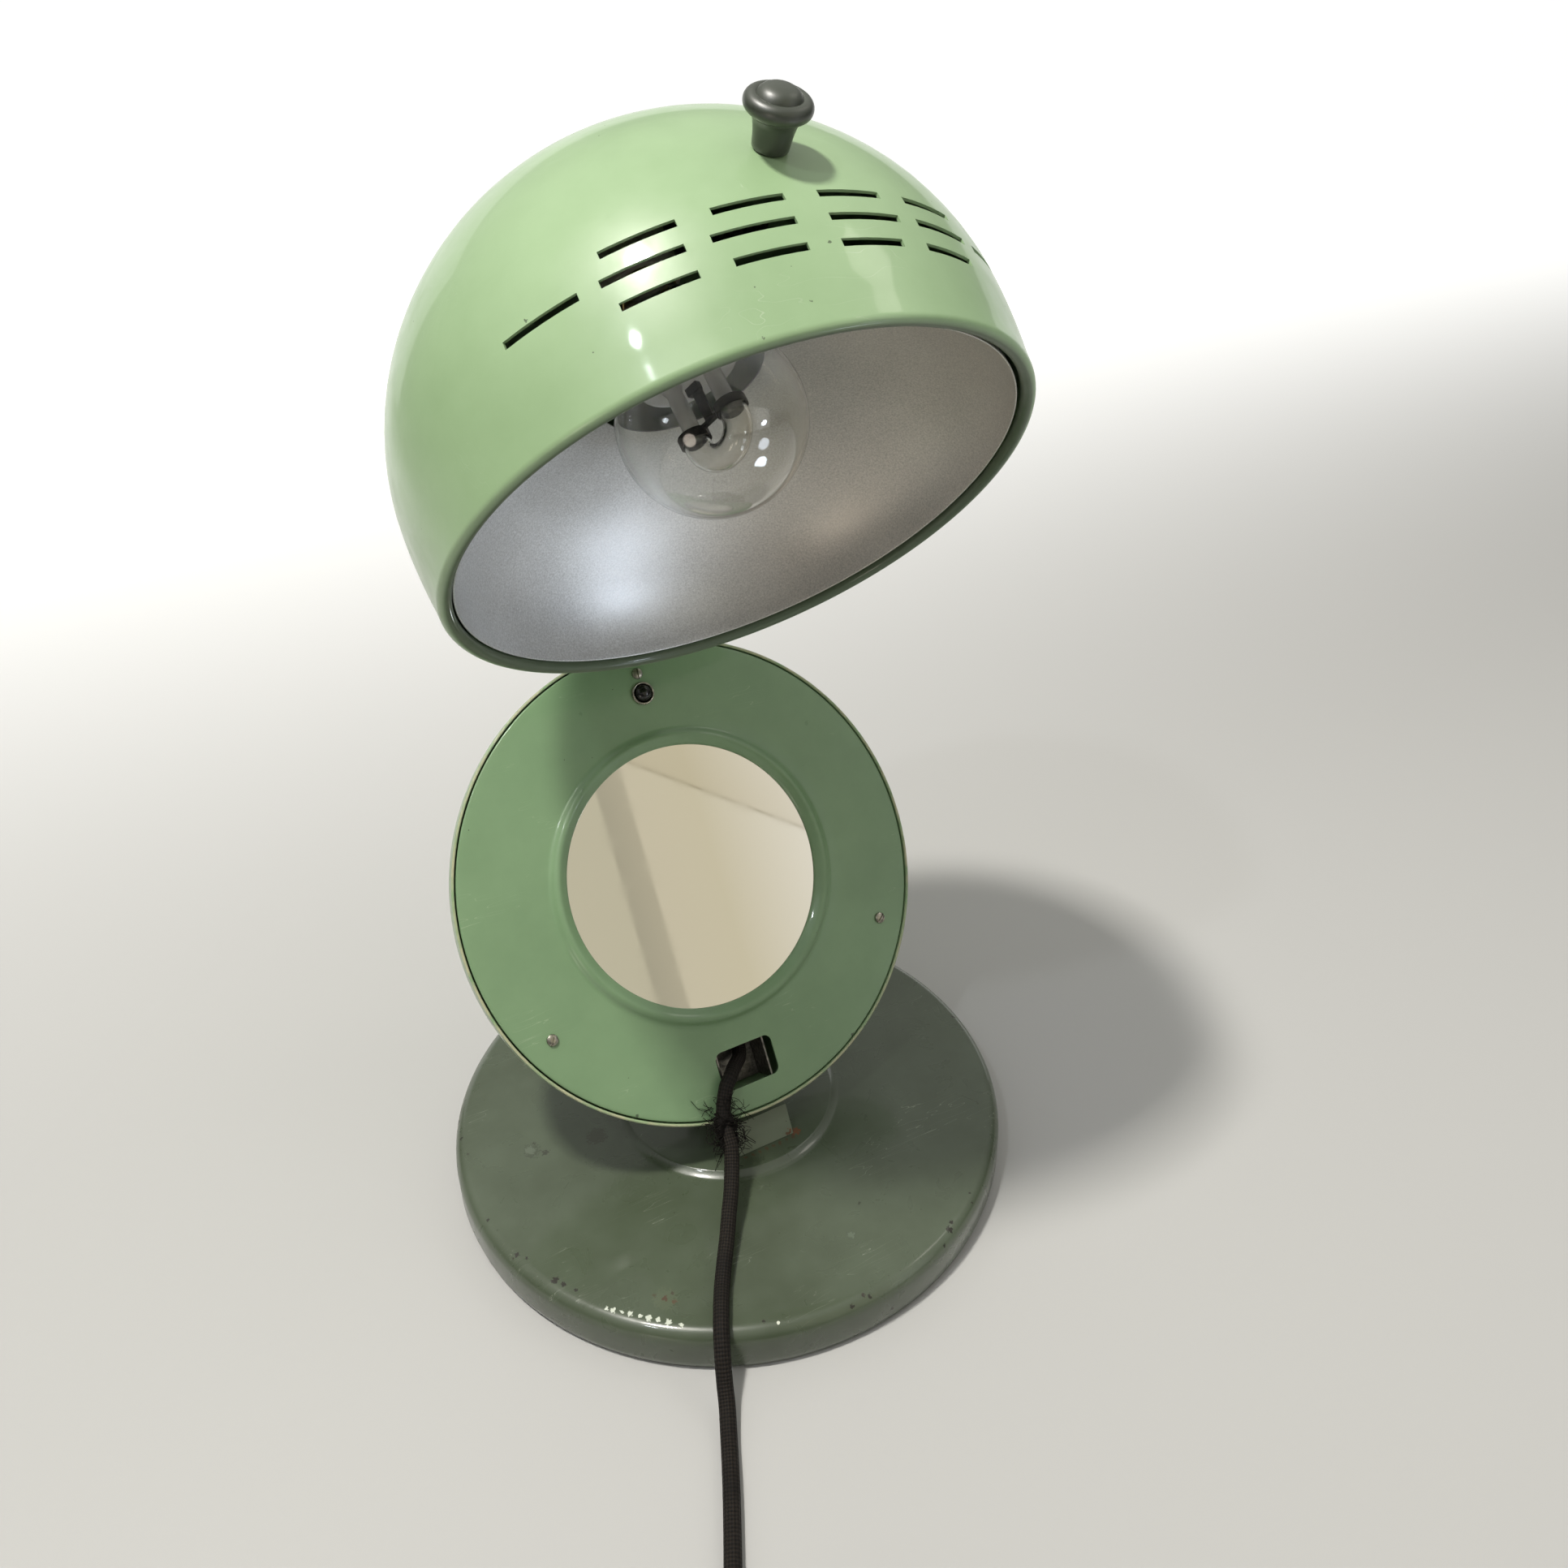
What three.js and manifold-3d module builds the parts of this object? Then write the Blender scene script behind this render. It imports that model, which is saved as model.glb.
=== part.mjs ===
// Quartz sun lamp: a weighted round base, a tilting round housing with a mirror in its front panel,
// and a deep hood that closes over the panel like a lid and carries the quartz lamp.
// Millimetres, +Z up, origin at the centre of the base's underside, front of the lamp towards -Y.

import * as THREE from 'three';
import { mergeVertices } from 'three/addons/utils/BufferGeometryUtils.js';
import Module from 'manifold-3d';

const wasm = await Module();
wasm.setup();

// Clearances
const seat = 0.3; // between two pieces that touch
const holePlay = 0.3; // round a pin or a screw in its hole

// Base
const baseRadius = 150;
const baseHeight = 23.5;
const baseWall = 1.5;
const baseEdgeFillet = 7;
const baseHem = 4.8; // how far the foot is rolled in under the cover
const baseLift = 1; // the felt stands this proud of the foot
const bossRadius = 59;
const bossHeight = 2.5;
const feltThickness = 2;
const coverThickness = 1.2;
const weightThickness = 9;
const weightRim = 10; // room between the weight and the dish
const hubRadius = 50;
const cableHoleRadius = 12;

// Foot bracket and the tilt joint
const bracketWidth = 32;
const bracketSheet = 2.5;
const bracketLean = 28; // degrees that the front plate leans back
const bracketFront = -47; // front edge on the boss
const bracketBack = 24;
const bracketPlateHeight = 15;
const tiltPinY = 10;
const tiltPinRise = 20; // tilt pin above the boss
const tiltPinRadius = 4;
const bracketEarRadius = 9.5;
const footScrewRadius = 2.6;
const footScrewHead = 5;
const footScrewYs = [-28, 12];

// Housing
const housingLean = 34.28; // degrees that the panel leans back from upright
const housingRadius = 127.4;
const housingWall = 1.5;
const rimDepth = 6;
const backDepth = 42;
const backFullness = 2.3; // exponent of the back's outline, 2 is an ellipse
const lugReach = 14.2; // from the housing's skin to the tilt pin
const lugPinInset = 27.8; // how far the pin lies inside the housing's radius
const lugFlangeInset = 11.4; // outer end of the lug's flange, inside the housing's radius
const lugFlangeLength = 58;
const lugFlange = 3; // thickness
const skinScrewRadius = 1.9;
const skinScrewHead = 3.6;
const skinScrewSpread = 10; // the screws' distance from a flange's end

// Front panel
const panelThickness = 1.2;
const panelRecess = 0.6;
const panelGap = 0.7; // dark gap round the panel
const mirrorOpening = 69.2; // radius
const bezelCrest = 74.6; // radius
const bezelFoot = 78; // radius
const bezelHeight = 3;
const mirrorThickness = 3;
const mirrorRadius = 72.4;
const retainerWidth = 20;
const panelScrewInset = 16.4; // inside the housing's radius
const panelScrewAngles = [90, -30, -150];
const panelScrewHead = 3.3;
const panelScrewRadius = 1.8;
const tabWidth = 14;
const tabThickness = 2;

// Cord hole and the tray behind it
const cordHoleWidth = 32.5;
const cordHoleHeight = 20.5;
const cordHoleCorner = 4;
const cordHoleX = -2;
const cordHoleInset = 25.4; // its centre, inside the housing's radius
const traySheet = 1.2;
const trayLeft = -17.6;
const trayRight = 10.6;
const trayDepth = 22;

// Push button
const buttonInset = 27.4; // its centre, inside the housing's radius
const buttonRadius = 4.5;
const buttonProud = 3.8;
const collarRadius = 6.2;
const switchDepth = 12; // top of the switch body behind the rim plane
const switchWidth = 18;

// Ballast
const ballastWidth = 60;
const ballastLength = 50;
const ballastStack = 22;
const ballastY = 13;
const ballastLift = 20.5; // its middle, above the back's deepest place
const ballastWindow = 11;

// Hood
const hoodOverhang = 3.65; // the hood's widest place beyond the housing's radius
const hoodDepth = 170.8;
const hoodBelly = 43.3; // height of the widest place above the lip
const hoodFullness = 1.976; // exponent of the dome's outline, 2 is an ellipse
const hoodWall = 1.2;
const lipRadius = 5.4; // rounding of the rolled lip
const lipInset = 3.15; // the lip is this much smaller in radius than the belly
const hoodClosedGap = 1; // between the lip and the housing rim when closed
const hoodOpening = 104.47; // degrees from closed to the pose in use

// Vent slots: rows of [height above the lip, slots' [start, end] in degrees from the front]
const slotHeight = 3.2;
const slotRows = [
  [51.4, [[2.8, 14.3], [19.6, 31.6]]],
  [41.1, [[2.8, 16], [19.9, 33], [36.5, 49.8]]],
  [30.3, [[2.8, 14.3], [19.6, 31.6]]],
];

// Hood hinge
const hingeOverhang = 14; // hinge axis beyond the housing's radius
const hingeAboveLip = 39.6;
const hingePinRadius = 4;
const hingePinBore = 2.4;
const hingeEarRadius = 7.5;
const hingeEar = 3;
const hoodPlateHalf = 18.5;
const hoodPlateHeight = 40;
const hoodPlateStandoff = 2.95; // flat back of the hood's hinge plate beyond the hood's radius
const hingeBracketSheet = 2.5;
const hingeBracketBack = 9.6; // the web's outer face beyond the hinge axis
const hingeBracketFoot = 32.4; // how far the foot reaches in from the housing's radius

// Knob
const knobHeight = 76; // above the lip, on the front of the hood
const knobCapRadius = 12.2;
const knobFootRadius = 6.7;
const knobNeckRadius = 8.4;
const knobLength = 22.2;
const knobScrewRadius = 2;

// Reflector, lamp holder and lamp
const reflectorSheet = 0.8;
const reflectorInset = 0.9; // inside the lip's inner wall
const reflectorHeight = 73;
const reflectorHole = 38.6;
const socketRadius = 19;
const socketLength = 24;
const bridgeDrop = 22.8; // underside of the bridge below the hood's pole
const bridgeWidth = 20;
const bridgeSheet = 2;
const capRadius = 13.4;
const capLength = 22;
const bulbLean = 2.9; // degrees that the lamp sits askew in its holder
const globeRadius = 41.2;
const globeHeight = 51.3; // centre of the globe above the lip
const glassWall = 1.2;
const neckRadius = 24;
const burnerRadius = 6.2;
const burnerSpread = 11.7; // each end of the burner from the lamp's axis
const burnerBottom = 29; // above the lip
const burnerTop = 51;
const burnerTurn = 61; // degrees from the left-right direction
const burnerClipHeight = 53;
const flareHeight = 76;
const flareRadius = 23;
const stemLegRadius = 4;

// Cord
const cordRadius = 4.5;
const cordSides = 8;
const cordSteps = 40;
const tieThickness = 0.8;
const coilCentre = [-87, -314];
const coilRadius = 61.7; // outermost turn, to the cord's centre
const coilTurns = 13 / 3;
const coilLoopSteps = 24;
const coilPitch = 9.6; // from turn to turn and from layer to layer
const coilStartAngle = 153.5;
const coilStraight = 25;
const tailLength = 53;
const bindingLength = 9;
const bindingThickness = 1.1;
const plugRadius = 19;
const plugLength = 42;
const plugPinRadius = 2.4;
const plugPinLength = 19;
const plugPinSpacing = 19;

// Fineness of round pieces
const fine = 36;
const medium = 26;
const coarse = 16;
const small = 10;
const backRings = 7;
const backInnerRings = 7;
const hoodRings = 8;
const hoodInnerRings = 8;

const degrees = Math.PI / 180;

// Finishes
function finish(color, roughness, metalness) {
  return new THREE.MeshStandardMaterial({ color, roughness, metalness });
}
const hoodEnamel = finish(0xa3c08c, 0.3, 0);
const panelEnamel = finish(0x7fa377, 0.35, 0);
const baseEnamel = finish(0x63735f, 0.45, 0);
const knobLacquer = finish(0x55655a, 0.25, 0);
const nickel = finish(0xb7b3a8, 0.3, 1);
const steel = finish(0x8f9290, 0.45, 1);
const castIron = finish(0x4a4a48, 0.8, 0.6);
const aluminiumPaint = finish(0xb9bbc0, 0.45, 0.6);
const mirrorGlass = finish(0xe8e8e6, 0.02, 1);
const clearGlass = new THREE.MeshStandardMaterial({ color: 0xdfe6e4, roughness: 0.03, transparent: true, opacity: 0.3 });
const darkMetal = finish(0x2e2926, 0.6, 0.6);
const blackPlastic = finish(0x141414, 0.25, 0);
const porcelain = finish(0xe6e0d0, 0.4, 0);
const copperWire = finish(0x8c4a2c, 0.5, 0.7);
const felt = finish(0x3b4a3c, 0.95, 0);
const braid = finish(0x2b2623, 0.9, 0);
const brass = finish(0xb08d4a, 0.35, 1);

// Solid modelling helpers

function toSolid(geometry) {
  const bare = new THREE.BufferGeometry();
  bare.setAttribute('position', geometry.getAttribute('position'));
  bare.setIndex(geometry.getIndex());
  const merged = mergeVertices(bare, 1e-4);
  const index = merged.getIndex().array;
  const triangles = [];
  for (let i = 0; i < index.length; i += 3) {
    const [a, b, c] = index.slice(i, i + 3);
    if (a !== b && b !== c && c !== a) triangles.push(a, b, c);
  }
  const build = (corners) => new wasm.Manifold(new wasm.Mesh({
    numProp: 3,
    vertProperties: merged.getAttribute('position').array,
    triVerts: new Uint32Array(corners),
  }));
  const solid = build(triangles);
  // An outline may run either way round: an inside-out solid has a negative volume and is turned.
  return solid.volume() > 0 ? solid : build(triangles.reverse());
}

function toGeometry(solid) {
  const mesh = solid.getMesh();
  const geometry = new THREE.BufferGeometry();
  geometry.setAttribute('position', new THREE.BufferAttribute(Float32Array.from(mesh.vertProperties), 3));
  geometry.setIndex(new THREE.BufferAttribute(Uint32Array.from(mesh.triVerts), 1));
  return geometry;
}

function cut(body, ...tools) {
  return toGeometry(tools.reduce((solid, tool) => solid.subtract(toSolid(tool)), toSolid(body)));
}

function join(first, ...others) {
  return toGeometry(others.reduce((solid, other) => solid.add(toSolid(other)), toSolid(first)));
}

function common(first, second) {
  return toGeometry(toSolid(first).intersect(toSolid(second)));
}

// Points of an arc about (cx, cy), angles in degrees
function arc(cx, cy, radius, from, to, steps) {
  return Array.from({ length: steps + 1 }, (_, i) => {
    const angle = (from + (to - from) * i / steps) * degrees;
    return [cx + radius * Math.cos(angle), cy + radius * Math.sin(angle)];
  });
}

// A closed outline of [radius, height] points turned about the Z axis. The outline may run either way
// round: its signed area tells which, and it is turned to run the way that faces the surface outwards.
function revolve(outline, segments) {
  const points = outline.map(([r, z]) => new THREE.Vector2(Math.max(r, 0), z));
  if (THREE.ShapeUtils.area(points) < 0) points.reverse();
  return new THREE.LatheGeometry([...points, points[0]], segments).rotateX(Math.PI / 2);
}

function shapeOf(outline) {
  return new THREE.Shape(outline.map(([x, y]) => new THREE.Vector2(x, y)));
}

// An outline of [x, y] points extruded up from z = low to z = high
function prism(outline, low, high) {
  return new THREE.ExtrudeGeometry(shapeOf(outline), { depth: high - low, bevelEnabled: false })
    .translate(0, 0, low);
}

// An outline of [y, z] points extruded across the lamp from x = left to x = right
function sideProfile(outline, left, right) {
  const axes = new THREE.Matrix4().makeBasis(
    new THREE.Vector3(0, 1, 0), new THREE.Vector3(0, 0, 1), new THREE.Vector3(1, 0, 0));
  return prism(outline, left, right).applyMatrix4(axes);
}

function block(x0, x1, y0, y1, z0, z1) {
  return new THREE.BoxGeometry(x1 - x0, y1 - y0, z1 - z0)
    .translate((x0 + x1) / 2, (y0 + y1) / 2, (z0 + z1) / 2);
}

// A round rod along Z from z = low to z = high
function rod(radius, low, high, segments = small) {
  return new THREE.CylinderGeometry(radius, radius, high - low, segments)
    .rotateX(Math.PI / 2).translate(0, 0, (low + high) / 2);
}

// Turns a piece made along Z so that it lies along X, through the point (0, y, z)
function acrossAt(geometry, y, z) {
  return geometry.rotateY(Math.PI / 2).translate(0, y, z);
}

function washer(inner, outer, low, high, segments = coarse) {
  return revolve([[inner, low], [outer, low], [outer, high], [inner, high]], segments);
}

// A slotted screw: its head stands on z = 0, its shank goes down
function slottedScrew(headRadius, headHeight, shankRadius, length, slotAngle = 0) {
  const outline = [
    [0, -length], [shankRadius, -length], [shankRadius, 0], [headRadius, 0],
    [headRadius, headHeight * 0.45], [headRadius * 0.8, headHeight * 0.85], [headRadius * 0.4, headHeight], [0, headHeight],
  ];
  const slotHalf = headRadius * 0.13;
  const slot = block(-headRadius - 1, headRadius + 1, -slotHalf, slotHalf, headHeight * 0.45, headHeight + 1)
    .rotateZ(slotAngle * degrees);
  return cut(revolve(outline, small), slot);
}

function hexNut(acrossCorners, bore, low, high) {
  const hexagon = new THREE.CylinderGeometry(acrossCorners, acrossCorners, high - low, 6)
    .rotateX(Math.PI / 2).translate(0, 0, (low + high) / 2);
  return cut(hexagon, rod(bore, low - 1, high + 1, coarse));
}

function add(group, name, geometry, material) {
  const mesh = new THREE.Mesh(geometry, material);
  mesh.name = name;
  group.add(mesh);
  return mesh;
}

// A round cord or tube through a line of points, with flat ends
function sweep(points, radius, sides) {
  const last = points.length - 1;
  const positions = [];
  const index = [];
  let across = new THREE.Vector3(0, 0, 1);
  points.forEach((point, i) => {
    const along = points[Math.min(i + 1, last)].clone().sub(points[Math.max(i - 1, 0)]).normalize();
    if (i === 0 && Math.abs(along.z) > 0.9) across = new THREE.Vector3(1, 0, 0);
    across = across.clone().addScaledVector(along, -across.dot(along)).normalize();
    const other = along.clone().cross(across);
    for (let k = 0; k < sides; k += 1) {
      const angle = 2 * Math.PI * k / sides;
      const corner = point.clone()
        .addScaledVector(across, radius * Math.cos(angle))
        .addScaledVector(other, radius * Math.sin(angle));
      positions.push(...corner);
    }
  });
  for (let i = 0; i < last; i += 1) {
    for (let k = 0; k < sides; k += 1) {
      const [a, b] = [i * sides + k, i * sides + (k + 1) % sides];
      index.push(a, b, b + sides, a, b + sides, a + sides);
    }
  }
  for (let k = 1; k < sides - 1; k += 1) {
    index.push(0, k + 1, k, last * sides, last * sides + k, last * sides + k + 1);
  }
  const geometry = new THREE.BufferGeometry();
  geometry.setAttribute('position', new THREE.Float32BufferAttribute(positions, 3));
  geometry.setIndex(index);
  return geometry;
}

// Evenly spaced points on a smooth line through the given [x, y, z] places
function smoothLine(places, steps) {
  const curve = new THREE.CatmullRomCurve3(places.map((spot) => new THREE.Vector3(...spot)), false, 'centripetal');
  return curve.getSpacedPoints(steps);
}

function place(group, parent, x, y, z) {
  group.position.set(x, y, z);
  parent.add(group);
  return group;
}

const lamp = new THREE.Group();

// Base: its levels, from the table up
const coverBottom = feltThickness + seat;
const hemTop = feltThickness;
const coverTop = coverBottom + coverThickness;
const weightBottom = coverTop + seat;
const weightTop = weightBottom + weightThickness;
const bossTop = baseHeight + bossHeight;
const hubTop = bossTop - baseWall - seat;
const bracketBottom = bossTop + seat;
const tiltPinZ = bossTop + tiltPinRise;
const base = place(new THREE.Group(), lamp, 0, 0, 0);

function baseShell() {
  const inner = baseRadius - baseWall;
  const outline = [
    [0, bossTop],
    ...arc(bossRadius - bossHeight, bossTop - bossHeight, bossHeight, 90, 20, 2),
    [bossRadius + bossHeight, baseHeight],
    ...arc(baseRadius - baseEdgeFillet, baseHeight - baseEdgeFillet, baseEdgeFillet, 90, 0, 3),
    [baseRadius, baseLift + 4.6],
    [baseRadius - 0.8, baseLift + 1.9],
    [baseRadius - 2.8, baseLift],
    [baseRadius - baseHem, baseLift],
    [baseRadius - baseHem, hemTop],
    [inner, hemTop],
    ...arc(baseRadius - baseEdgeFillet, baseHeight - baseEdgeFillet, baseEdgeFillet - baseWall, 0, 90, 2),
    [bossRadius + bossHeight - baseWall, baseHeight - baseWall],
    [bossRadius - baseWall, bossTop - baseWall],
    [0, bossTop - baseWall],
  ];
  const holes = footScrewYs.map((y) => rod(footScrewRadius + holePlay, baseLift, bossTop + 1).translate(0, y, 0));
  return cut(revolve(outline, fine), ...holes);
}

function baseWeight() {
  const outer = baseRadius - weightRim;
  const outline = [
    [cableHoleRadius, weightBottom], [outer, weightBottom], [outer, weightTop - 2], [outer - 2, weightTop],
    [hubRadius + 5, weightTop], [hubRadius, weightTop + 5], [hubRadius, hubTop], [cableHoleRadius, hubTop],
  ];
  const holes = footScrewYs.map((y) => rod(footScrewRadius + holePlay, weightTop - 3, hubTop + 1).translate(0, y, 0));
  return cut(revolve(outline, medium), ...holes);
}

add(base, 'base_shell', baseShell(), baseEnamel);
add(base, 'base_weight', baseWeight(), castIron);
add(base, 'base_cover', rod(baseRadius - baseWall - 0.8, coverBottom, coverTop, medium), steel);
add(base, 'base_felt', rod(baseRadius - baseHem - 0.5, 0, feltThickness, fine), felt);

// Foot bracket: a channel folded from sheet, its front plate leaning back like the housing
const plateSetBack = bracketPlateHeight * Math.tan(bracketLean * degrees);
const bracketPlateTop = bracketBottom + bracketPlateHeight;

function footBracket() {
  const outline = [
    [bracketFront, bracketBottom],
    [bracketBack, bracketBottom],
    ...arc(tiltPinY, tiltPinZ, bracketEarRadius, -10, 160, 7),
    [tiltPinY - 17, bracketPlateTop - 0.5],
    [tiltPinY - 34, bracketPlateTop - 2.5],
    [bracketFront + plateSetBack, bracketPlateTop],
  ];
  const floor = bracketBottom + bracketSheet;
  const slantWall = bracketSheet / Math.cos(bracketLean * degrees);
  const inside = [
    [bracketFront + slantWall + bracketSheet * Math.tan(bracketLean * degrees), floor],
    [bracketBack + 10, floor],
    [bracketBack + 10, tiltPinZ + 20],
    [bracketFront + slantWall + (tiltPinZ + 20 - bracketBottom) * Math.tan(bracketLean * degrees), tiltPinZ + 20],
  ];
  const half = bracketWidth / 2;
  const pinHole = acrossAt(rod(tiltPinRadius + holePlay, -half - 1, half + 1, coarse), tiltPinY, tiltPinZ);
  const screwHoles = footScrewYs.map((y) => rod(footScrewRadius + holePlay, bossTop, floor + 1).translate(0, y, 0));
  return cut(
    sideProfile(outline, -half, half),
    sideProfile(inside, -half + bracketSheet, half - bracketSheet),
    pinHole,
    ...screwHoles);
}

add(base, 'foot_bracket', footBracket(), baseEnamel);
footScrewYs.forEach((y, i) => {
  const headSeat = bracketBottom + bracketSheet + seat;
  const length = headSeat - weightTop;
  add(base, `foot_screw_${i + 1}`, slottedScrew(footScrewHead, 3, footScrewRadius, length, 30 + 40 * i), steel)
    .position.set(0, y, headSeat);
});

// Tilt pin across the bracket's ears, with its washer and nut on the right
function tiltPin() {
  const half = bracketWidth / 2 + seat;
  const outline = [
    [0, -half - 4], [6, -half - 4], [7, -half - 3], [7, -half], [tiltPinRadius, -half],
    [tiltPinRadius, half + 7.5], [0, half + 7.5],
  ];
  return acrossAt(revolve(outline, coarse), tiltPinY, tiltPinZ);
}

const bracketHalf = bracketWidth / 2;
const pinPlay = tiltPinRadius + holePlay;
add(base, 'tilt_pin', tiltPin(), nickel);
add(base, 'tilt_washer',
  acrossAt(washer(pinPlay, 8, bracketHalf + seat, bracketHalf + seat + 1.2), tiltPinY, tiltPinZ), nickel);
add(base, 'tilt_nut',
  acrossAt(hexNut(7.5, pinPlay, bracketHalf + 2 * seat + 1.2, bracketHalf + 2 * seat + 6.2), tiltPinY, tiltPinZ), nickel);

// Housing: its frame has the disc's axis as Z, pointing out of the panel, and Y up along the disc.
// It is hung on the tilt pin. What sits near the rim keeps its distance from the housing's radius.
const panelScrewCircle = housingRadius - panelScrewInset;
const buttonY = housingRadius - buttonInset;
const cordHoleY = cordHoleInset - housingRadius;
const clampStart = cordHoleY + 18.6;
const ballastZ = ballastLift - rimDepth - backDepth;
const hoodRadius = housingRadius + hoodOverhang;
const hingeReach = housingRadius + hingeOverhang;
const lugPinReach = housingRadius - lugPinInset;
const lugFlangeEnd = housingRadius - lugFlangeInset;
const lugFlangeStart = lugFlangeEnd - lugFlangeLength;
const bracketFootStart = housingRadius - hingeBracketFoot;
const bracketFootEnd = housingRadius - lugFlangeInset - 1;

// Height of the back's outer skin at a distance from the axis (0 is the rim plane, the back is negative)
function backSkin(radius, offset = 0) {
  const reach = housingRadius + offset;
  const bulge = Math.pow(Math.max(1 - Math.pow(radius / reach, backFullness), 0), 1 / backFullness);
  return -rimDepth - (backDepth + offset) * bulge;
}

function backSlope(radius) {
  return (backSkin(radius + 0.5) - backSkin(radius - 0.5));
}

const lugPin = { y: -lugPinReach, z: backSkin(lugPinReach) - lugReach };
const housing = new THREE.Group();
housing.rotation.x = (90 - housingLean) * degrees;
const lean = housingLean * degrees;
place(housing, lamp, 0,
  tiltPinY - lugPin.y * Math.sin(lean) + lugPin.z * Math.cos(lean),
  tiltPinZ - lugPin.y * Math.cos(lean) - lugPin.z * Math.sin(lean));

// The back's outline from the axis to the wall below the rim, moved out or in by an offset
function backOutline(offset, steps) {
  return Array.from({ length: steps + 1 }, (_, i) => {
    const angle = 90 * degrees * i / steps;
    const power = 2 / backFullness;
    return [
      (housingRadius + offset) * Math.pow(Math.sin(angle), power),
      -rimDepth - (backDepth + offset) * Math.pow(Math.max(Math.cos(angle), 0), power),
    ];
  });
}

// The space that the back takes, for cutting what is seated on it or in it
function backBody(offset, rings, top) {
  return revolve([...backOutline(offset, rings), [housingRadius + offset, top], [0, top]], fine);
}

const panelFace = -panelRecess;
const panelBack = panelFace - panelThickness;
const rimInner = housingRadius - housingWall;

function onCircle(radius, angle) {
  return [radius * Math.cos(angle * degrees), radius * Math.sin(angle * degrees)];
}

const lugScrewSpots = [-7.5, 7.5].map((x) => [x, -lugFlangeStart - skinScrewSpread]);
const bracketScrewSpots = [-10, 10].map((x) => [x, bracketFootStart + 8]);

function between(from, to, steps) {
  return Array.from({ length: steps + 1 }, (_, i) => from + (to - from) * i / steps);
}

// A piece made along Z, set on the back's skin at (x, y) with its Z pointing out of the back
function onBack(geometry, x, y) {
  const radius = Math.abs(y);
  return geometry
    .rotateX(Math.atan2(-Math.sign(y) * backSlope(radius), -1))
    .translate(x, y, backSkin(radius));
}

function housingShell() {
  const outline = [
    ...backOutline(0, backRings),
    [housingRadius, -0.8],
    [housingRadius - 0.6, 0],
    [rimInner, -0.2],
    ...backOutline(-housingWall, backInnerRings).reverse(),
  ];
  const top = panelBack - seat;
  const tabs = panelScrewAngles.map((angle) => {
    const inner = angle === 90 ? buttonY + collarRadius + 1.3 : panelScrewCircle - 7;
    return block(inner, housingRadius - 0.7, -tabWidth / 2, tabWidth / 2, top - tabThickness, top)
      .rotateZ(angle * degrees);
  });
  const tabHoles = panelScrewAngles.map((angle) => rod(panelScrewRadius + holePlay, top - 5, top + 1)
    .translate(...onCircle(panelScrewCircle, angle), 0));
  const skinHoles = [...lugScrewSpots, ...bracketScrewSpots]
    .map(([x, y]) => onBack(rod(skinScrewRadius + holePlay, -5, 5), x, y));
  return cut(join(revolve(outline, fine), ...tabs), ...tabHoles, ...skinHoles);
}

function roundedRectangle(x, y, width, height, corner) {
  const [w, h] = [width / 2 - corner, height / 2 - corner];
  return [
    ...arc(x + w, y - h, corner, -90, 0, 3), ...arc(x + w, y + h, corner, 0, 90, 3),
    ...arc(x - w, y + h, corner, 90, 180, 3), ...arc(x - w, y - h, corner, 180, 270, 3),
  ];
}

// Front panel: one pressing, with the bezel bead standing round the mirror opening
function frontPanel() {
  const outer = rimInner - panelGap;
  const crest = panelFace + bezelHeight;
  const outline = [
    [outer, panelBack], [outer, panelFace - 0.4], [outer - 0.5, panelFace],
    [bezelFoot + 1.2, panelFace], [bezelFoot, panelFace + 0.4],
    [bezelCrest + 1.2, crest - 0.4], [bezelCrest, crest], [bezelCrest - 1.2, crest - 0.3],
    [mirrorOpening + 0.3, -0.4], [mirrorOpening, -1.3],
    [mirrorOpening + 2.2, -1.3], [bezelCrest, crest - panelThickness], [bezelFoot, panelBack],
  ];
  const cordHole = prism(
    roundedRectangle(cordHoleX, cordHoleY, cordHoleWidth, cordHoleHeight, cordHoleCorner), panelBack - 1, 1);
  const buttonHole = rod(collarRadius - 0.4, panelBack - 1, 1, coarse).translate(0, buttonY, 0);
  const screwHoles = panelScrewAngles.map((angle) => rod(panelScrewRadius + holePlay, panelBack - 1, 1)
    .translate(...onCircle(panelScrewCircle, angle), 0));
  return cut(revolve(outline, fine), cordHole, buttonHole, ...screwHoles);
}

const mirrorFront = -1.3 - seat;
const mirrorBack = mirrorFront - mirrorThickness;

function mirrorRetainer() {
  const step = mirrorRadius + 1.1;
  const low = mirrorBack - seat;
  const high = panelBack - seat;
  const inner = mirrorRadius - retainerWidth / 2 + 1.6;
  return revolve([
    [inner, low], [step, low], [step, high], [step + 11, high], [step + 11, high - 1.2],
    [step + 1.2, high - 1.2], [step + 1.2, low - 1.2], [inner, low - 1.2],
  ], medium);
}

add(housing, 'housing_shell', housingShell(), panelEnamel);
add(housing, 'front_panel', frontPanel(), panelEnamel);
add(housing, 'mirror', rod(mirrorRadius, mirrorBack, mirrorFront, fine), mirrorGlass);
add(housing, 'mirror_retainer', mirrorRetainer(), steel);
panelScrewAngles.forEach((angle, i) => {
  const [x, y] = onCircle(panelScrewCircle, angle);
  add(housing, `panel_screw_${i + 1}`, slottedScrew(panelScrewHead, 1.7, panelScrewRadius, 7, [88, 35, 60][i]), nickel)
    .position.set(x, y, panelFace + seat);
});

// Push button: the collar is clamped in the panel and stands on the switch body
const collarBore = buttonRadius + 0.4;
const collarSleeve = collarRadius - 0.7;

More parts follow.
